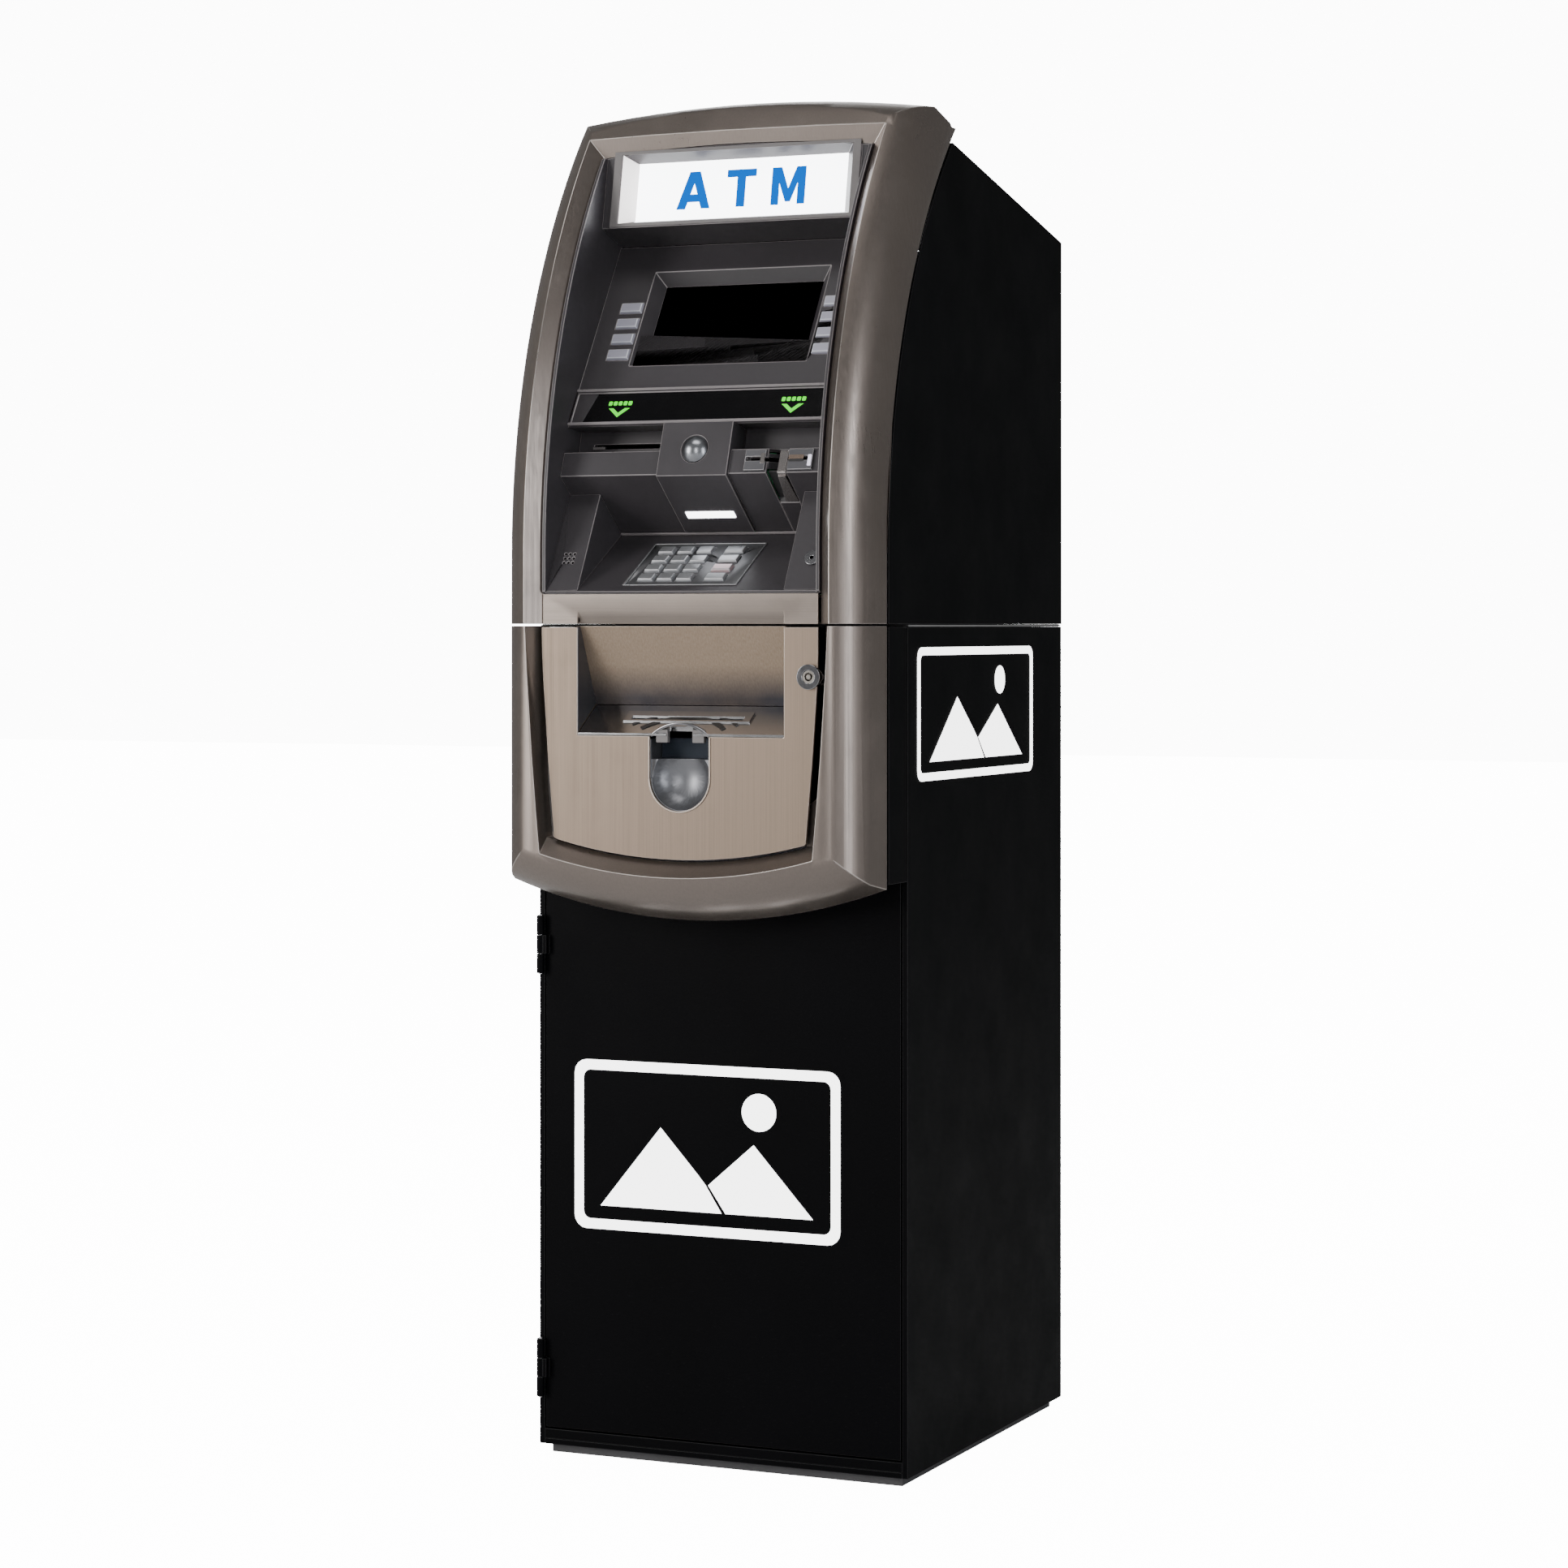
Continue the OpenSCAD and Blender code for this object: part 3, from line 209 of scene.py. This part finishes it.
# white print that glows by emission: painted light that keeps the picture signs white
picture_glow_m = surface("picture_white_glow", (0.88, 0.88, 0.88), 0.5, 0.0, var=0.03, bump=0.03, emit=(1.0, 1.0, 1.0), emit_s=4.0, smudge=False)
decal = surface("decal_white", (0.86, 0.87, 0.88), 0.5, 0.0, var=0.03, bump=0.03, smudge=False)
red_m = surface("mark_red", (0.55, 0.05, 0.06), 0.45, 0.0, var=0.1, bump=0.02, smudge=False)
yellow_m = surface("mark_yellow", (0.75, 0.55, 0.06), 0.45, 0.0, var=0.1, bump=0.02, smudge=False)
greenk_m = surface("mark_green", (0.06, 0.42, 0.12), 0.45, 0.0, var=0.1, bump=0.02, smudge=False)
# pale lining that glows by emission: painted light from the sign falling on the left wall of its opening
sign_glow_liner_m = surface("sign_glow_liner", (0.8, 0.76, 0.74), 0.5, 0.0, var=0.03, bump=0.02, emit=(0.9, 0.86, 0.85), emit_s=1.6, smudge=False)
ring_m = surface("sign_rim", (0.15, 0.142, 0.142), 0.35, 0.1, var=0.06, bump=0.04)
# near-black for the band in the scoop pocket under the tray: painted shade
scoop_shade_band_m = surface("scoop_shade_band", (0.022, 0.029, 0.042), 0.5, 0.0, spec=0.15, var=0.1, bump=0.02)
# near-black for the dark ridges on the tray and for the webs beside the arch, where it is painted shadow
ridge_and_web_shade_m = surface("tray_ridge", (0.02, 0.019, 0.019), 0.4, 0.2, var=0.1, bump=0.02)
tongue_m = surface("reader_tongue", (0.46, 0.43, 0.42), 0.22, 0.95, var=0.06, bump=0.02)
strip_m = surface("reader_strip", (0.42, 0.32, 0.26), 0.25, 0.9, var=0.08, bump=0.02)
led_m = surface("reader_light", (0.75, 0.72, 0.85), 0.3, 0.0, var=0.05, bump=0.0, emit=(0.85, 0.8, 1.0), emit_s=0.8, smudge=False)
channel_m = surface("channel_floor", (0.085, 0.085, 0.10), 0.36, 0.5, var=0.08, bump=0.04)
# dark bluish metal for the recess's left side wall: painted shade on the panel metal
recess_side_shade_m = surface("recess_side_shade", (0.075, 0.075, 0.085), 0.3, 0.7, var=0.1, bump=0.03)
seam_m = surface("seam_strip", (0.22, 0.22, 0.22), 0.4, 0.2, var=0.08, bump=0.03)
pink_m = surface("key_cap_pink", (0.52, 0.40, 0.42), 0.33, 0.6, var=0.06, bump=0.04)
legend_m = surface("key_legend", (0.03, 0.03, 0.035), 0.5, 0.0, var=0.1, bump=0.0, smudge=False)

# ------------------------------------------------------------------ finish of the CAD nodes; most bevels take a lighter edge material as a painted highlight, the dial's take white print
FIN = {
    "vault_cabinet": (black, 0.6, black_edge_highlight), "base_plinth": (plinth, 1.0, None), "hood_shell": (black, 0.5, black_edge_highlight),
    "power_inlet": (blackp, 0.5, None), "power_supply": (zinc, 1.0, None), "controller": (board, 0.4, None),
    "dispenser_frame": (zinc, 0.6, None), "cash_cassette": (cassette_m, 2.5, None), "pick_roller": (bright, 0.6, None),
    "dispenser_motor": (dark_metal, 0.8, None), "bill_chute": (zinc, 0.4, None), "hinge_pins": (bright, 0.3, None),
    "vault_door": (black, 0.5, black_edge_highlight), "lock_bolts": (bright, 0.7, None), "vault_handle": (chrome, 1.2, None),
    "combination_dial": (blackp, 0.3, decal), "fascia_hinge_pins": (bright, 0.3, None),
    "lower_bezel": (bezel, 0.7, bezel_edge_highlight), "dispenser_panel": (champagne, 0.8, champagne_edge_highlight), "cash_tray": (tray_m, 0.35, None),
    "finger_scoop": (scoop_m, 0.5, None), "key_lock_barrel": (chrome, 0.6, None), "key_lock_plug": (key_m, 0.3, None),
    "upper_bezel": (bezel, 0.7, bezel_edge_highlight), "control_panel": (ctrl, 0.7, ctrl_edge_highlight), "ledge_trim": (champagne_h, 0.6, champagne_edge_highlight),
    "sign_panel": (sign_m, 0.3, None), "screen": (glass_m, 0.4, None), "indicator_panel": (ind_m, 0.3, None), "camera_dome": (dome_m, 0, None),
    "card_reader": (reader_m, 0.5, reader_edge_highlight), "receipt_printer": (blackp, 0.6, None), "paper_roll": (paper_m, 0.3, None),
    "keypad_plate": (pad_m, 0.4, keycap_edge_and_plate_highlight), "headphone_jack": (chrome, 0.5, None), "light_bar": (lamp_m, 0.5, None),
}
for n in nodes:
    if n.startswith("side_key"):
        FIN[n] = (sidek_m, 0.6, sidek_edge_highlight)
    elif n.startswith("key_") and n not in FIN:
        FIN[n] = (keycap_m, 0.7, keycap_edge_and_plate_highlight)


def finish_node(o, m, width, edge_print_and_highlight):
    me = o.data
    for a in ("custom_normal",):
        if a in me.attributes:
            me.attributes.remove(me.attributes[a])
    if not me.materials:
        me.materials.append(m)
    for s in o.material_slots:
        s.material = m
    for p in me.polygons:
        p.use_smooth = True
    w = o.modifiers.new("weld", "WELD")
    w.merge_threshold = 2e-6
    d = o.modifiers.new("flat", "DECIMATE")
    d.decimate_type = "DISSOLVE"
    d.angle_limit = math.radians(0.7)
    d.delimit = set()
    if width:
        if edge_print_and_highlight:
            me.materials.append(edge_print_and_highlight)
        # the bevel faces take the edge material: for most parts a lighter copy of their own, a painted highlight along
        # every edge; white print on the dial
        b = o.modifiers.new("bevel", "BEVEL")
        b.width = width / 1000
        b.segments = 2
        b.limit_method = "ANGLE"
        b.angle_limit = math.radians(33)
        b.use_clamp_overlap = False
        b.harden_normals = False
        b.miter_outer = "MITER_ARC"
        b.material = len(me.materials) - 1 if edge_print_and_highlight else -1
    wn = o.modifiers.new("normals", "WEIGHTED_NORMAL")
    wn.mode = "FACE_AREA"
    wn.weight = 90
    wn.thresh = 0.01


FIN["key_enter"] = (pink_m, 0.7, keycap_edge_and_plate_highlight)
for n, o in nodes.items():
    if n in FIN:
        finish_node(o, *FIN[n])

# ------------------------------------------------------------------ piece builders


def piece(name, verts, faces, mat, body, bevel=0.0, smooth=False, seg=2):
    me = bpy.data.meshes.new(name)
    me.from_pydata([tuple(v) for v in verts], [], faces)
    me.validate()
    bm = bmesh.new(); bm.from_mesh(me)
    bmesh.ops.recalc_face_normals(bm, faces=bm.faces)
    if bevel:
        es = [e for e in bm.edges if len(e.link_faces) == 2 and e.calc_face_angle(0) > math.radians(30)]
        bmesh.ops.bevel(bm, geom=es, offset=bevel / 1000, segments=seg, profile=0.5, affect="EDGES", clamp_overlap=True)
    bm.to_mesh(me); bm.free()
    for p in me.polygons:
        p.use_smooth = smooth
    me.materials.append(mat)
    o = bpy.data.objects.new(name, me)
    bpy.context.scene.collection.objects.link(o)
    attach(o, body)
    return o


def prism(name, outline, y0, y1, place, mat, body, bevel=0.0, seg=2):
    """outline in (x, z), extruded from y0 to y1; place maps (x, y, z) to a point."""
    n = len(outline)
    v = [place(x, y0, z) for x, z in outline] + [place(x, y1, z) for x, z in outline]
    f = [tuple(range(n)), tuple(range(2 * n - 1, n - 1, -1))] + [(i, (i + 1) % n, n + (i + 1) % n, n + i) for i in range(n)]
    return piece(name, v, f, mat, body, bevel, False, seg)


def multi_prism(name, outlines, y0, y1, place, mat, body, bevel=0.0, seg=2):
    v, f = [], []
    for out in outlines:
        n, b = len(out), len(v)
        v += [place(x, y0, z) for x, z in out] + [place(x, y1, z) for x, z in out]
        f += [tuple(b + i for i in range(n)), tuple(b + i for i in range(2 * n - 1, n - 1, -1))]
        f += [(b + i, b + (i + 1) % n, b + n + (i + 1) % n, b + n + i) for i in range(n)]
    return piece(name, v, f, mat, body, bevel, False, seg)


def rounded(x0, z0, x1, z1, r, n=5):
    out = []
    for cx, cz, a0 in ((x1 - r, z1 - r, 0), (x0 + r, z1 - r, 90), (x0 + r, z0 + r, 180), (x1 - r, z0 + r, 270)):
        for i in range(n + 1):
            a = math.radians(a0 + 90 * i / n)
            out.append((cx + r * math.cos(a), cz + r * math.sin(a)))
    return out


def lcd(x, y, z): return on(LCD, LCD_TAU, x, y, z)
def sgn(x, y, z): return on(SIGN, SIGN_TAU, x, y, z)


# sign letters
UF, LF = "upper_fascia", "lower_fascia"
DX = 3.2
prism("sign_letter_t", [(x + DX, z + 41) for x, z in [(-19, 12), (-7.3, 12), (-7.3, -20), (2.3, -20), (2.3, 12), (14, 12), (14, 20), (-19, 20)]], 13.7, 14.7, sgn, blue_m, UF, 0.25)
prism("sign_letter_m", [(x + DX, z + 41) for x, z in [(32, -20), (40.6, -20), (40.6, 3), (48.2, -17), (53.8, -17), (61.4, 3), (61.4, -20), (70, -20), (70, 20), (59.5, 20), (51, -3), (42.5, 20), (32, 20)]], 13.7, 14.7, sgn, blue_m, UF, 0.25)
# the first letter has a hole: two legs and a bar
multi_prism("sign_letter_a", [[(x + DX, z + 41) for x, z in q] for q in (
    [(-75, -20), (-65.2, -20), (-56, 7.5), (-56, 20), (-61.8, 20)], [(-37, -20), (-46.8, -20), (-56, 7.5), (-56, 20), (-50.2, 20)],
    [(-63.0, -12.5), (-49, -12.5), (-51.2, -4.5), (-60.8, -4.5)])], 13.7, 14.7, sgn, blue_m, UF, 0)

# green marks on the indicator strip: a dotted bar over a chevron
for k, s in (("left", -1), ("right", 1)):
    cx = s * 97
    outs = [[(cx - 12, 22), (cx, 11), (cx + 12, 22), (cx + 6.5, 22), (cx, 16.2), (cx - 6.5, 22)]]
    for i in range(5):
        x = cx + (i - 2) * 5.6
        outs.append(rounded(x - 2.1, 25.5, x + 2.1, 30.5, 0.9, 2))
    multi_prism("green_mark_" + k, outs, 0.35, 1.2, lcd, green_m, "upper_fascia", 0)



def bar_x(name, outline, x0, x1, mat, body, bevel=0.0, seg=2):
    """A (y, z) outline in machine millimetres, drawn out along X."""
    n = len(outline)
    v = [P(x0, y, z) for y, z in outline] + [P(x1, y, z) for y, z in outline]
    f = [tuple(range(n)), tuple(range(2 * n - 1, n - 1, -1))] + [(i, (i + 1) % n, n + (i + 1) % n, n + i) for i in range(n)]
    return piece(name, v, f, mat, body, bevel, False, seg)


def hexa(name, quad_a, quad_b, mat, body, bevel=0.0):
    """A plate between two four-cornered faces, given as points."""
    v = list(quad_a) + list(quad_b)
    f = [(0, 1, 2, 3), (7, 6, 5, 4)] + [(i, (i + 1) % 4, 4 + (i + 1) % 4, 4 + i) for i in range(4)]
    return piece(name, v, f, mat, body, bevel)


def ring(name, outer, inner, y0, y1, place, mat, body, bevel=0.0):
    """A flat ring between two outlines with the same number of points."""
    n = len(outer)
    v = [place(x, y, z) for y in (y0, y1) for q in (outer, inner) for x, z in q]
    f = []
    for i in range(n):
        j = (i + 1) % n
        f += [(i, j, n + j, n + i), (2 * n + i, 3 * n + i, 3 * n + j, 2 * n + j), (i, 2 * n + i, 2 * n + j, j), (n + i, n + j, 3 * n + j, 3 * n + i)]
    return piece(name, v, f, mat, body, bevel)


def front(x, y, z): return P(x, y, z)
def blk(x, y, z): return on(BLOCK, BLOCK_TAU, x, y, z)
def sector(cx, cz, r0, r1, a0, a1, n=24):
    a = [math.radians(a0 + (a1 - a0) * i / n) for i in range(n + 1)]
    return [(cx + r1 * math.cos(q), cz + r1 * math.sin(q)) for q in a] + [(cx + r0 * math.cos(q), cz + r0 * math.sin(q)) for q in reversed(a)]


# sign: a glowing pale inner side on the left, painted light from the sign falling on that wall, and the rim around the
# opening
hexa("sign_glow_liner_left", [sgn(-118.6, 14.3, 10.4), sgn(-118.6, 14.3, 71.6), sgn(-130.2, -1.7, 77.7), sgn(-130.2, -1.7, 4.3)],
     [sgn(-118.2, 14.3, 10.4), sgn(-118.2, 14.3, 71.6), sgn(-129.8, -1.7, 77.7), sgn(-129.8, -1.7, 4.3)], sign_glow_liner_m, UF)
ring("sign_rim", [(-139.6, 0.9), (139.6, 0.9), (139.6, 81.4), (-139.6, 81.4)], [(-131.2, 4.2), (131.2, 4.2), (131.2, 77.8), (-131.2, 77.8)],
     -2.5, -2.03, sgn, ring_m, UF, 0.15)
# card slot: tongue, ramp below it, metal strip, small light
bar_x("reader_tongue", [(-53.2, 1036.2), (-62.4, 1013.9), (-58.5, 1009.5), (-52, 1012), (-46, 1033)], 91.6, 101.6, tongue_m, UF, 1.2, 3)
hexa("reader_ramp", [P(92.5, -61.2, 1009.8), P(100.5, -61.2, 1009.8), P(102.4, -32, 985.8), P(88.2, -32, 985.8)],
     [P(92.5, -59.6, 1011.4), P(100.5, -59.6, 1011.4), P(102.4, -31, 987.6), P(88.2, -31, 987.6)], tongue_m, UF, 0.4)
bar_x("reader_throat", [(-31.5, 1034), (-31.5, 987), (-30.4, 987), (-30.4, 1034)], 81.2, 102.8, blackp, UF, 0.2)
hexa("reader_floor", [P(81.3, -59.5, 1014.5), P(102.7, -59.5, 1014.5), P(102.7, -31.8, 990.5), P(81.3, -31.8, 990.5)],
     [P(81.3, -58.5, 1015.8), P(102.7, -58.5, 1015.8), P(102.7, -30.8, 991.8), P(81.3, -30.8, 991.8)], blackp, UF)
prism("reader_strip", rounded(105.2, 13.2, 121.5, 17.6, 0.8, 3), -3.6, -2.9, blk, strip_m, UF, 0.2)
prism("reader_strip_shade", rounded(105.2, 10.4, 121.5, 12.9, 0.6, 3), -3.4, -2.9, blk, blackp, UF, 0.1)
prism("reader_light", rounded(126.2, 5.5, 130.0, 17.5, 0.9, 3), -3.7, -2.9, blk, led_m, UF, 0.2)
prism("reader_catch", rounded(74.5, 9, 79.2, 20, 0.8, 3), -3.7, -2.9, blk, tongue_m, UF, 0.25)
# receipt slot: pale lip at its left end
# pale lip only at the left end of the slot: a painted highlight
bar_x("receipt_lip_highlight", [(-26.4, 1041.9), (-26.4, 1044.6), (-22.2, 1044.9), (-22.2, 1042.3)], -131.5, -118.5, ring_m, UF, 0.3)
# lines above and below the indicator strip, in the lighter edge colour as painted highlights along its edges
prism("strip_line_upper", rounded(-149.2, 41.9, 149.2, 44.1, 0.5, 2), -3.45, -3.03, lcd, ctrl_edge_highlight, UF, 0.1)
prism("strip_line_lower", rounded(-149.2, 0.5, 149.2, 2.9, 0.5, 2), -3.45, -3.03, lcd, ctrl_edge_highlight, UF, 0.1)
prism("strip_end_left", [(-146.9, 4.6), (-135, 4.6), (-125, 40.4), (-146.9, 40.4)], 0.25, 0.58, lcd, ctrl, UF, 0.1)
# lip at the back of the shelf, in the lighter edge colour as a painted highlight
bar_x("shelf_lip_highlight", [(3.2, 953.9), (1.0, 955.6), (2.0, 957.0), (4.6, 955.2)], -113.6, 113.6, ctrl_edge_highlight, UF, 0.3)
# finger scoop: dark band painted as shade under the tray, blocks beside the mouth and the arch over it
bar_x("scoop_shade_band", [(-67.0, 728.4), (-67.0, 748.2), (-66.1, 748.2), (-66.1, 728.4)], -32.7, 32.7, scoop_shade_band_m, LF, 0.2)
for k, s in (("left", -1), ("right", 1)):
    a, b = sorted((s * 13.6, s * 26.5))
    prism("scoop_block_" + k, rounded(a, 744.5, b, 757.5, 1.0, 3), -93.6, -88, front, ring_m, LF, 0.5)
    # dark webs between each block and the arch: painted shadow behind the arch
    seg = [(s * 13.6, 751.4), (s * 13.6, 751.4 + 9)] + [(s * 46 * math.sin(math.radians(q)), 716 + 46 * math.cos(math.radians(q))) for q in (18, 22, 26, 30, 34, 38)] + [(s * 29.2, 751.4)]
    prism("arch_shade_web_" + k, seg, -91.6, -90.4, front, ridge_and_web_shade_m, LF, 0.1)
prism("arch_lip", sector(0, 716, 46.2, 48.6, 47.5, 132.5), -94.4, -88.5, front, chrome, LF, 0.5, 3)
# rim round the scoop in the lighter edge metal: a painted highlight along the cut edge
prism("scoop_rim", sector(0, 709, 32.7, 34.4, 180, 360, 40), -96.1, -94.2, front, champagne_edge_highlight, LF, 0.4)
for k, s in (("left", -1), ("right", 1)):
    a, b = sorted((s * 32.7, s * 34.4))
    prism("scoop_rim_" + k, [(a, 709), (b, 709), (b, 750.5), (a, 750.5)], -96.1, -94.2, front, champagne_edge_highlight, LF, 0.4)


def tray(x, y, z):
    """z up the tray's slope, y out of it."""
    l = math.hypot(40, 27)
    return P(x, -94.6 + z * 40 / l + y * 27 / l, 753.6 + z * 27 / l - y * 40 / l)


prism("tray_ridge", sector(0, -36, 61, 66, 44, 136), -1.1, 0.2, tray, ridge_and_web_shade_m, LF, 0.4)
prism("tray_ridge_outer", sector(0, -60, 93, 96.5, 52, 128), -0.9, 0.2, tray, ridge_and_web_shade_m, LF, 0.3)
# lining of the tray recess, with painted shade darkening it towards the bottom
rm, rnt, rb = node_mat("recess_back_painted_shade")
rco = rnt.nodes.new("ShaderNodeTexCoord")
rs = rnt.nodes.new("ShaderNodeSeparateXYZ")
rnt.links.new(rco.outputs["Object"], rs.inputs[0])
# painted shade mask: 1 below z 0.788 m, fading out by 0.822 m, then varied with noise
painted_shade_low = ramp(rnt, rs.outputs["Z"], 1, 0, 0.788, 0.822)
wob = ramp(rnt, tex(rnt, scale=14, detail=2), 0.75, 1.0, 0.35, 0.65)
painted_shade_mask = rnt.nodes.new("ShaderNodeMath"); painted_shade_mask.operation = "MULTIPLY"
rnt.links.new(painted_shade_low, painted_shade_mask.inputs[0]); rnt.links.new(wob, painted_shade_mask.inputs[1])
brown = set_mix(rnt, ramp(rnt, tex(rnt, scale=1.0, detail=3, stretch=(700, 700, 6)), 0, 1), (0.27, 0.205, 0.15), (0.34, 0.265, 0.2))
# mix the brushed brown into the dark painted-shade colour by that mask
rnt.links.new(set_mix(rnt, painted_shade_mask.outputs[0], brown, (0.045, 0.046, 0.058)), rb.inputs["Base Color"])
rb.inputs["Metallic"].default_value = 0.7
rb.inputs["Roughness"].default_value = 0.42
bar_x("recess_back_painted_shade", [(-88.6, 860.2), (-53.7, 781.3), (-53.3, 781.6), (-88.2, 860.2)], -113.7, 113.7, rm, LF)
# dark plate on the left side wall of the recess: painted shade
bar_x("recess_side_shade_left", [(-94.6, 860.2), (-89.0, 860.2), (-54.4, 781.9), (-94.6, 754.6)], -113.95, -113.5, recess_side_shade_m, LF)
# floor of the channel under the panel
prism("channel_bottom", sector(0, 1166.5, 519.5, 540.6, 270 - 14, 270 + 14, 30), -77.6, -77.05, front, channel_m, LF)
# dark slope between the glass and the lower edge of its frame
piece("screen_sill", [lcd(-89, 13.05, 85.4), lcd(89, 13.05, 85.4), lcd(89, 13.05, 115.4), lcd(-89, 13.05, 115.4), lcd(-95.3, 5.5, 79.1), lcd(95.3, 5.5, 79.1)],
      [(0, 1, 2, 3), (4, 5, 1, 0), (3, 2, 5, 4), (0, 3, 4), (1, 5, 2)], glass_m, UF)
def bez_x(z): return min(157.0, 171 - (1050 - z) ** 2 / 8400)
def pan_x(z): return min(155.0, 160.2 - (1050 - z) ** 2 / 8400)
zs = [652 + 13 * i for i in range(17)]
prism("channel_left", [(-bez_x(z) + 0.3, z) for z in zs] + [(-pan_x(z) + 5, z) for z in reversed(zs)], -77.6, -77.05, front, ring_m, LF)
# gasket that fills the seam between safe and hood
prism("seam_gasket", rounded(-205.6, 860.05, 205.6, 862.95, 0.8, 2), 3, 443, front, blackp, "cabinet", 0.2)
# pale strips in the seam on both sides of the cabinet
for k, s in (("left", -1), ("right", 1)):
    a, b = sorted((s * 206.0, s * 207.3))
    prism("seam_strip_" + k, [(a, 860.4), (b, 860.4), (b, 862.1), (a, 862.1)], 3, 443, front, seam_m, "cabinet", 0.2)


def frame_pic(place, cx, cz, w, h, y0, y1, name, body, flipped=False):
    """A blank picture sign: frame, hills and sun, all paint-thin."""
    s = -1 if flipped else 1
    q = lambda pts: [(cx + s * x, cz + z) for x, z in pts]
    out, inn = rounded(-w / 2, -h / 2, w / 2, h / 2, h * 0.08, 4), rounded(-w / 2 + h * 0.06, -h / 2 + h * 0.06, w / 2 - h * 0.06, h / 2 - h * 0.06, h * 0.045, 4)
    ring(name + "_frame", q(out), q(inn), y0, y1, place, picture_glow_m, body)
    a = h * 0.5
    multi_prism(name + "_hills", [q([(-w * 0.40, -h * 0.36), (-w * 0.17, h * 0.12), (-w * 0.03, -h * 0.14), (-w * 0.0, -h * 0.20), (w * 0.06, -h * 0.36)]),
                                  q([(w * 0.075, -h * 0.36), (w * 0.01, -h * 0.2), (w * 0.18, h * 0.05), (w * 0.40, -h * 0.36)])], y0, y1, place, picture_glow_m, body)
    n = 28
    prism(name + "_sun", q([(w * 0.2 + h * 0.11 * math.cos(2 * math.pi * i / n), h * 0.24 + h * 0.11 * math.sin(2 * math.pi * i / n)) for i in range(n)]), y0, y1, place, picture_glow_m, body)


frame_pic(front, -16, 325, 300, 175, -0.34, -0.02, "front_picture", "safe_door")
frame_pic(lambda x, y, z: P(y, x, z), 190, 772, 330, 135, 207.12, 207.42, "side_picture", "cabinet")
# floor
bpy.ops.mesh.primitive_plane_add(size=40, location=(0, 0, 0))
floor = bpy.context.object
floor.name = "floor"
fm, fnt, fb = node_mat("floor_pale")
fb.inputs["Base Color"].default_value = (0.9, 0.9, 0.905, 1)
fb.inputs["Roughness"].default_value = 0.8
fe = fnt.nodes.new("ShaderNodeEmission")
flp = fnt.nodes.new("ShaderNodeLightPath")
fmu = fnt.nodes.new("ShaderNodeMath"); fmu.operation = "MULTIPLY"
fmu.inputs[1].default_value = 14.0
fnt.links.new(flp.outputs["Is Camera Ray"], fmu.inputs[0])
fnt.links.new(fmu.outputs[0], fe.inputs["Strength"])
fad = fnt.nodes.new("ShaderNodeAddShader")
fnt.links.new(fb.outputs[0], fad.inputs[0])
fnt.links.new(fe.outputs[0], fad.inputs[1])
fnt.links.new(fad.outputs[0], [x for x in fnt.nodes if x.type == "OUTPUT_MATERIAL"][0].inputs[0])
floor.data.materials.append(fm)

# ------------------------------------------------------------------ light and camera
w = bpy.data.worlds.new("studio")
bpy.context.scene.world = w
w.use_nodes = True
nt = w.node_tree
nt.nodes.clear()
wo = nt.nodes.new("ShaderNodeOutputWorld")
bg = nt.nodes.new("ShaderNodeBackground")
bg.inputs["Color"].default_value = (1.0, 1.0, 1.0, 1)
bg.inputs["Strength"].default_value = 0.22
bg2 = nt.nodes.new("ShaderNodeBackground")
bg2.inputs["Color"].default_value = (1.0, 1.0, 1.0, 1)
bg2.inputs["Strength"].default_value = 12.0
lp = nt.nodes.new("ShaderNodeLightPath")
mx = nt.nodes.new("ShaderNodeMixShader")
nt.links.new(lp.outputs["Is Camera Ray"], mx.inputs[0])
nt.links.new(bg.outputs[0], mx.inputs[1])
nt.links.new(bg2.outputs[0], mx.inputs[2])
nt.links.new(mx.outputs[0], wo.inputs[0])


def area(name, loc, target, size, power, color=(1, 1, 1), size_y=None):
    l = bpy.data.lights.new(name, "AREA")
    l.energy = power
    l.color = color
    l.shape = "RECTANGLE"
    l.size = size
    l.size_y = size_y or size
    o = bpy.data.objects.new(name, l)
    bpy.context.scene.collection.objects.link(o)
    o.location = loc
    o.rotation_euler = (Vector(target) - Vector(loc)).to_track_quat("-Z", "Y").to_euler()
    return o


area("key_left", (-2.5, -3.0, 1.5), (0, -0.2, 0.95), 1.3, 105, (1, 0.98, 0.955), 2.2)
area("key_near", (1.0, -4.0, 1.5), (0, -0.2, 0.95), 0.8, 38, (1, 0.99, 0.98), 2.0)
area("edge_right", (3.3, -1.7, 1.2), (0.1, -0.2, 0.9), 0.7, 46, (0.95, 0.97, 1.0), 2.4)
area("top", (0.1, -1.2, 3.4), (0, -0.1, 1.1), 1.6, 22, (1, 0.98, 0.96), 1.0)
area("back", (-0.8, 3.2, 2.4), (0, 0, 0.8), 2.0, 30, (1, 1, 1), 2.0)

cam = bpy.data.cameras.new("camera")
cam.sensor_width = 36
cam.lens = 86.87
cam.shift_y = -0.1014
cam.clip_end = 200
co = bpy.data.objects.new("camera", cam)
bpy.context.scene.collection.objects.link(co)
co.location = (1.6408, -3.6597, 0.862)
co.rotation_euler = (math.radians(90), 0, math.radians(24.2))
bpy.context.scene.camera = co
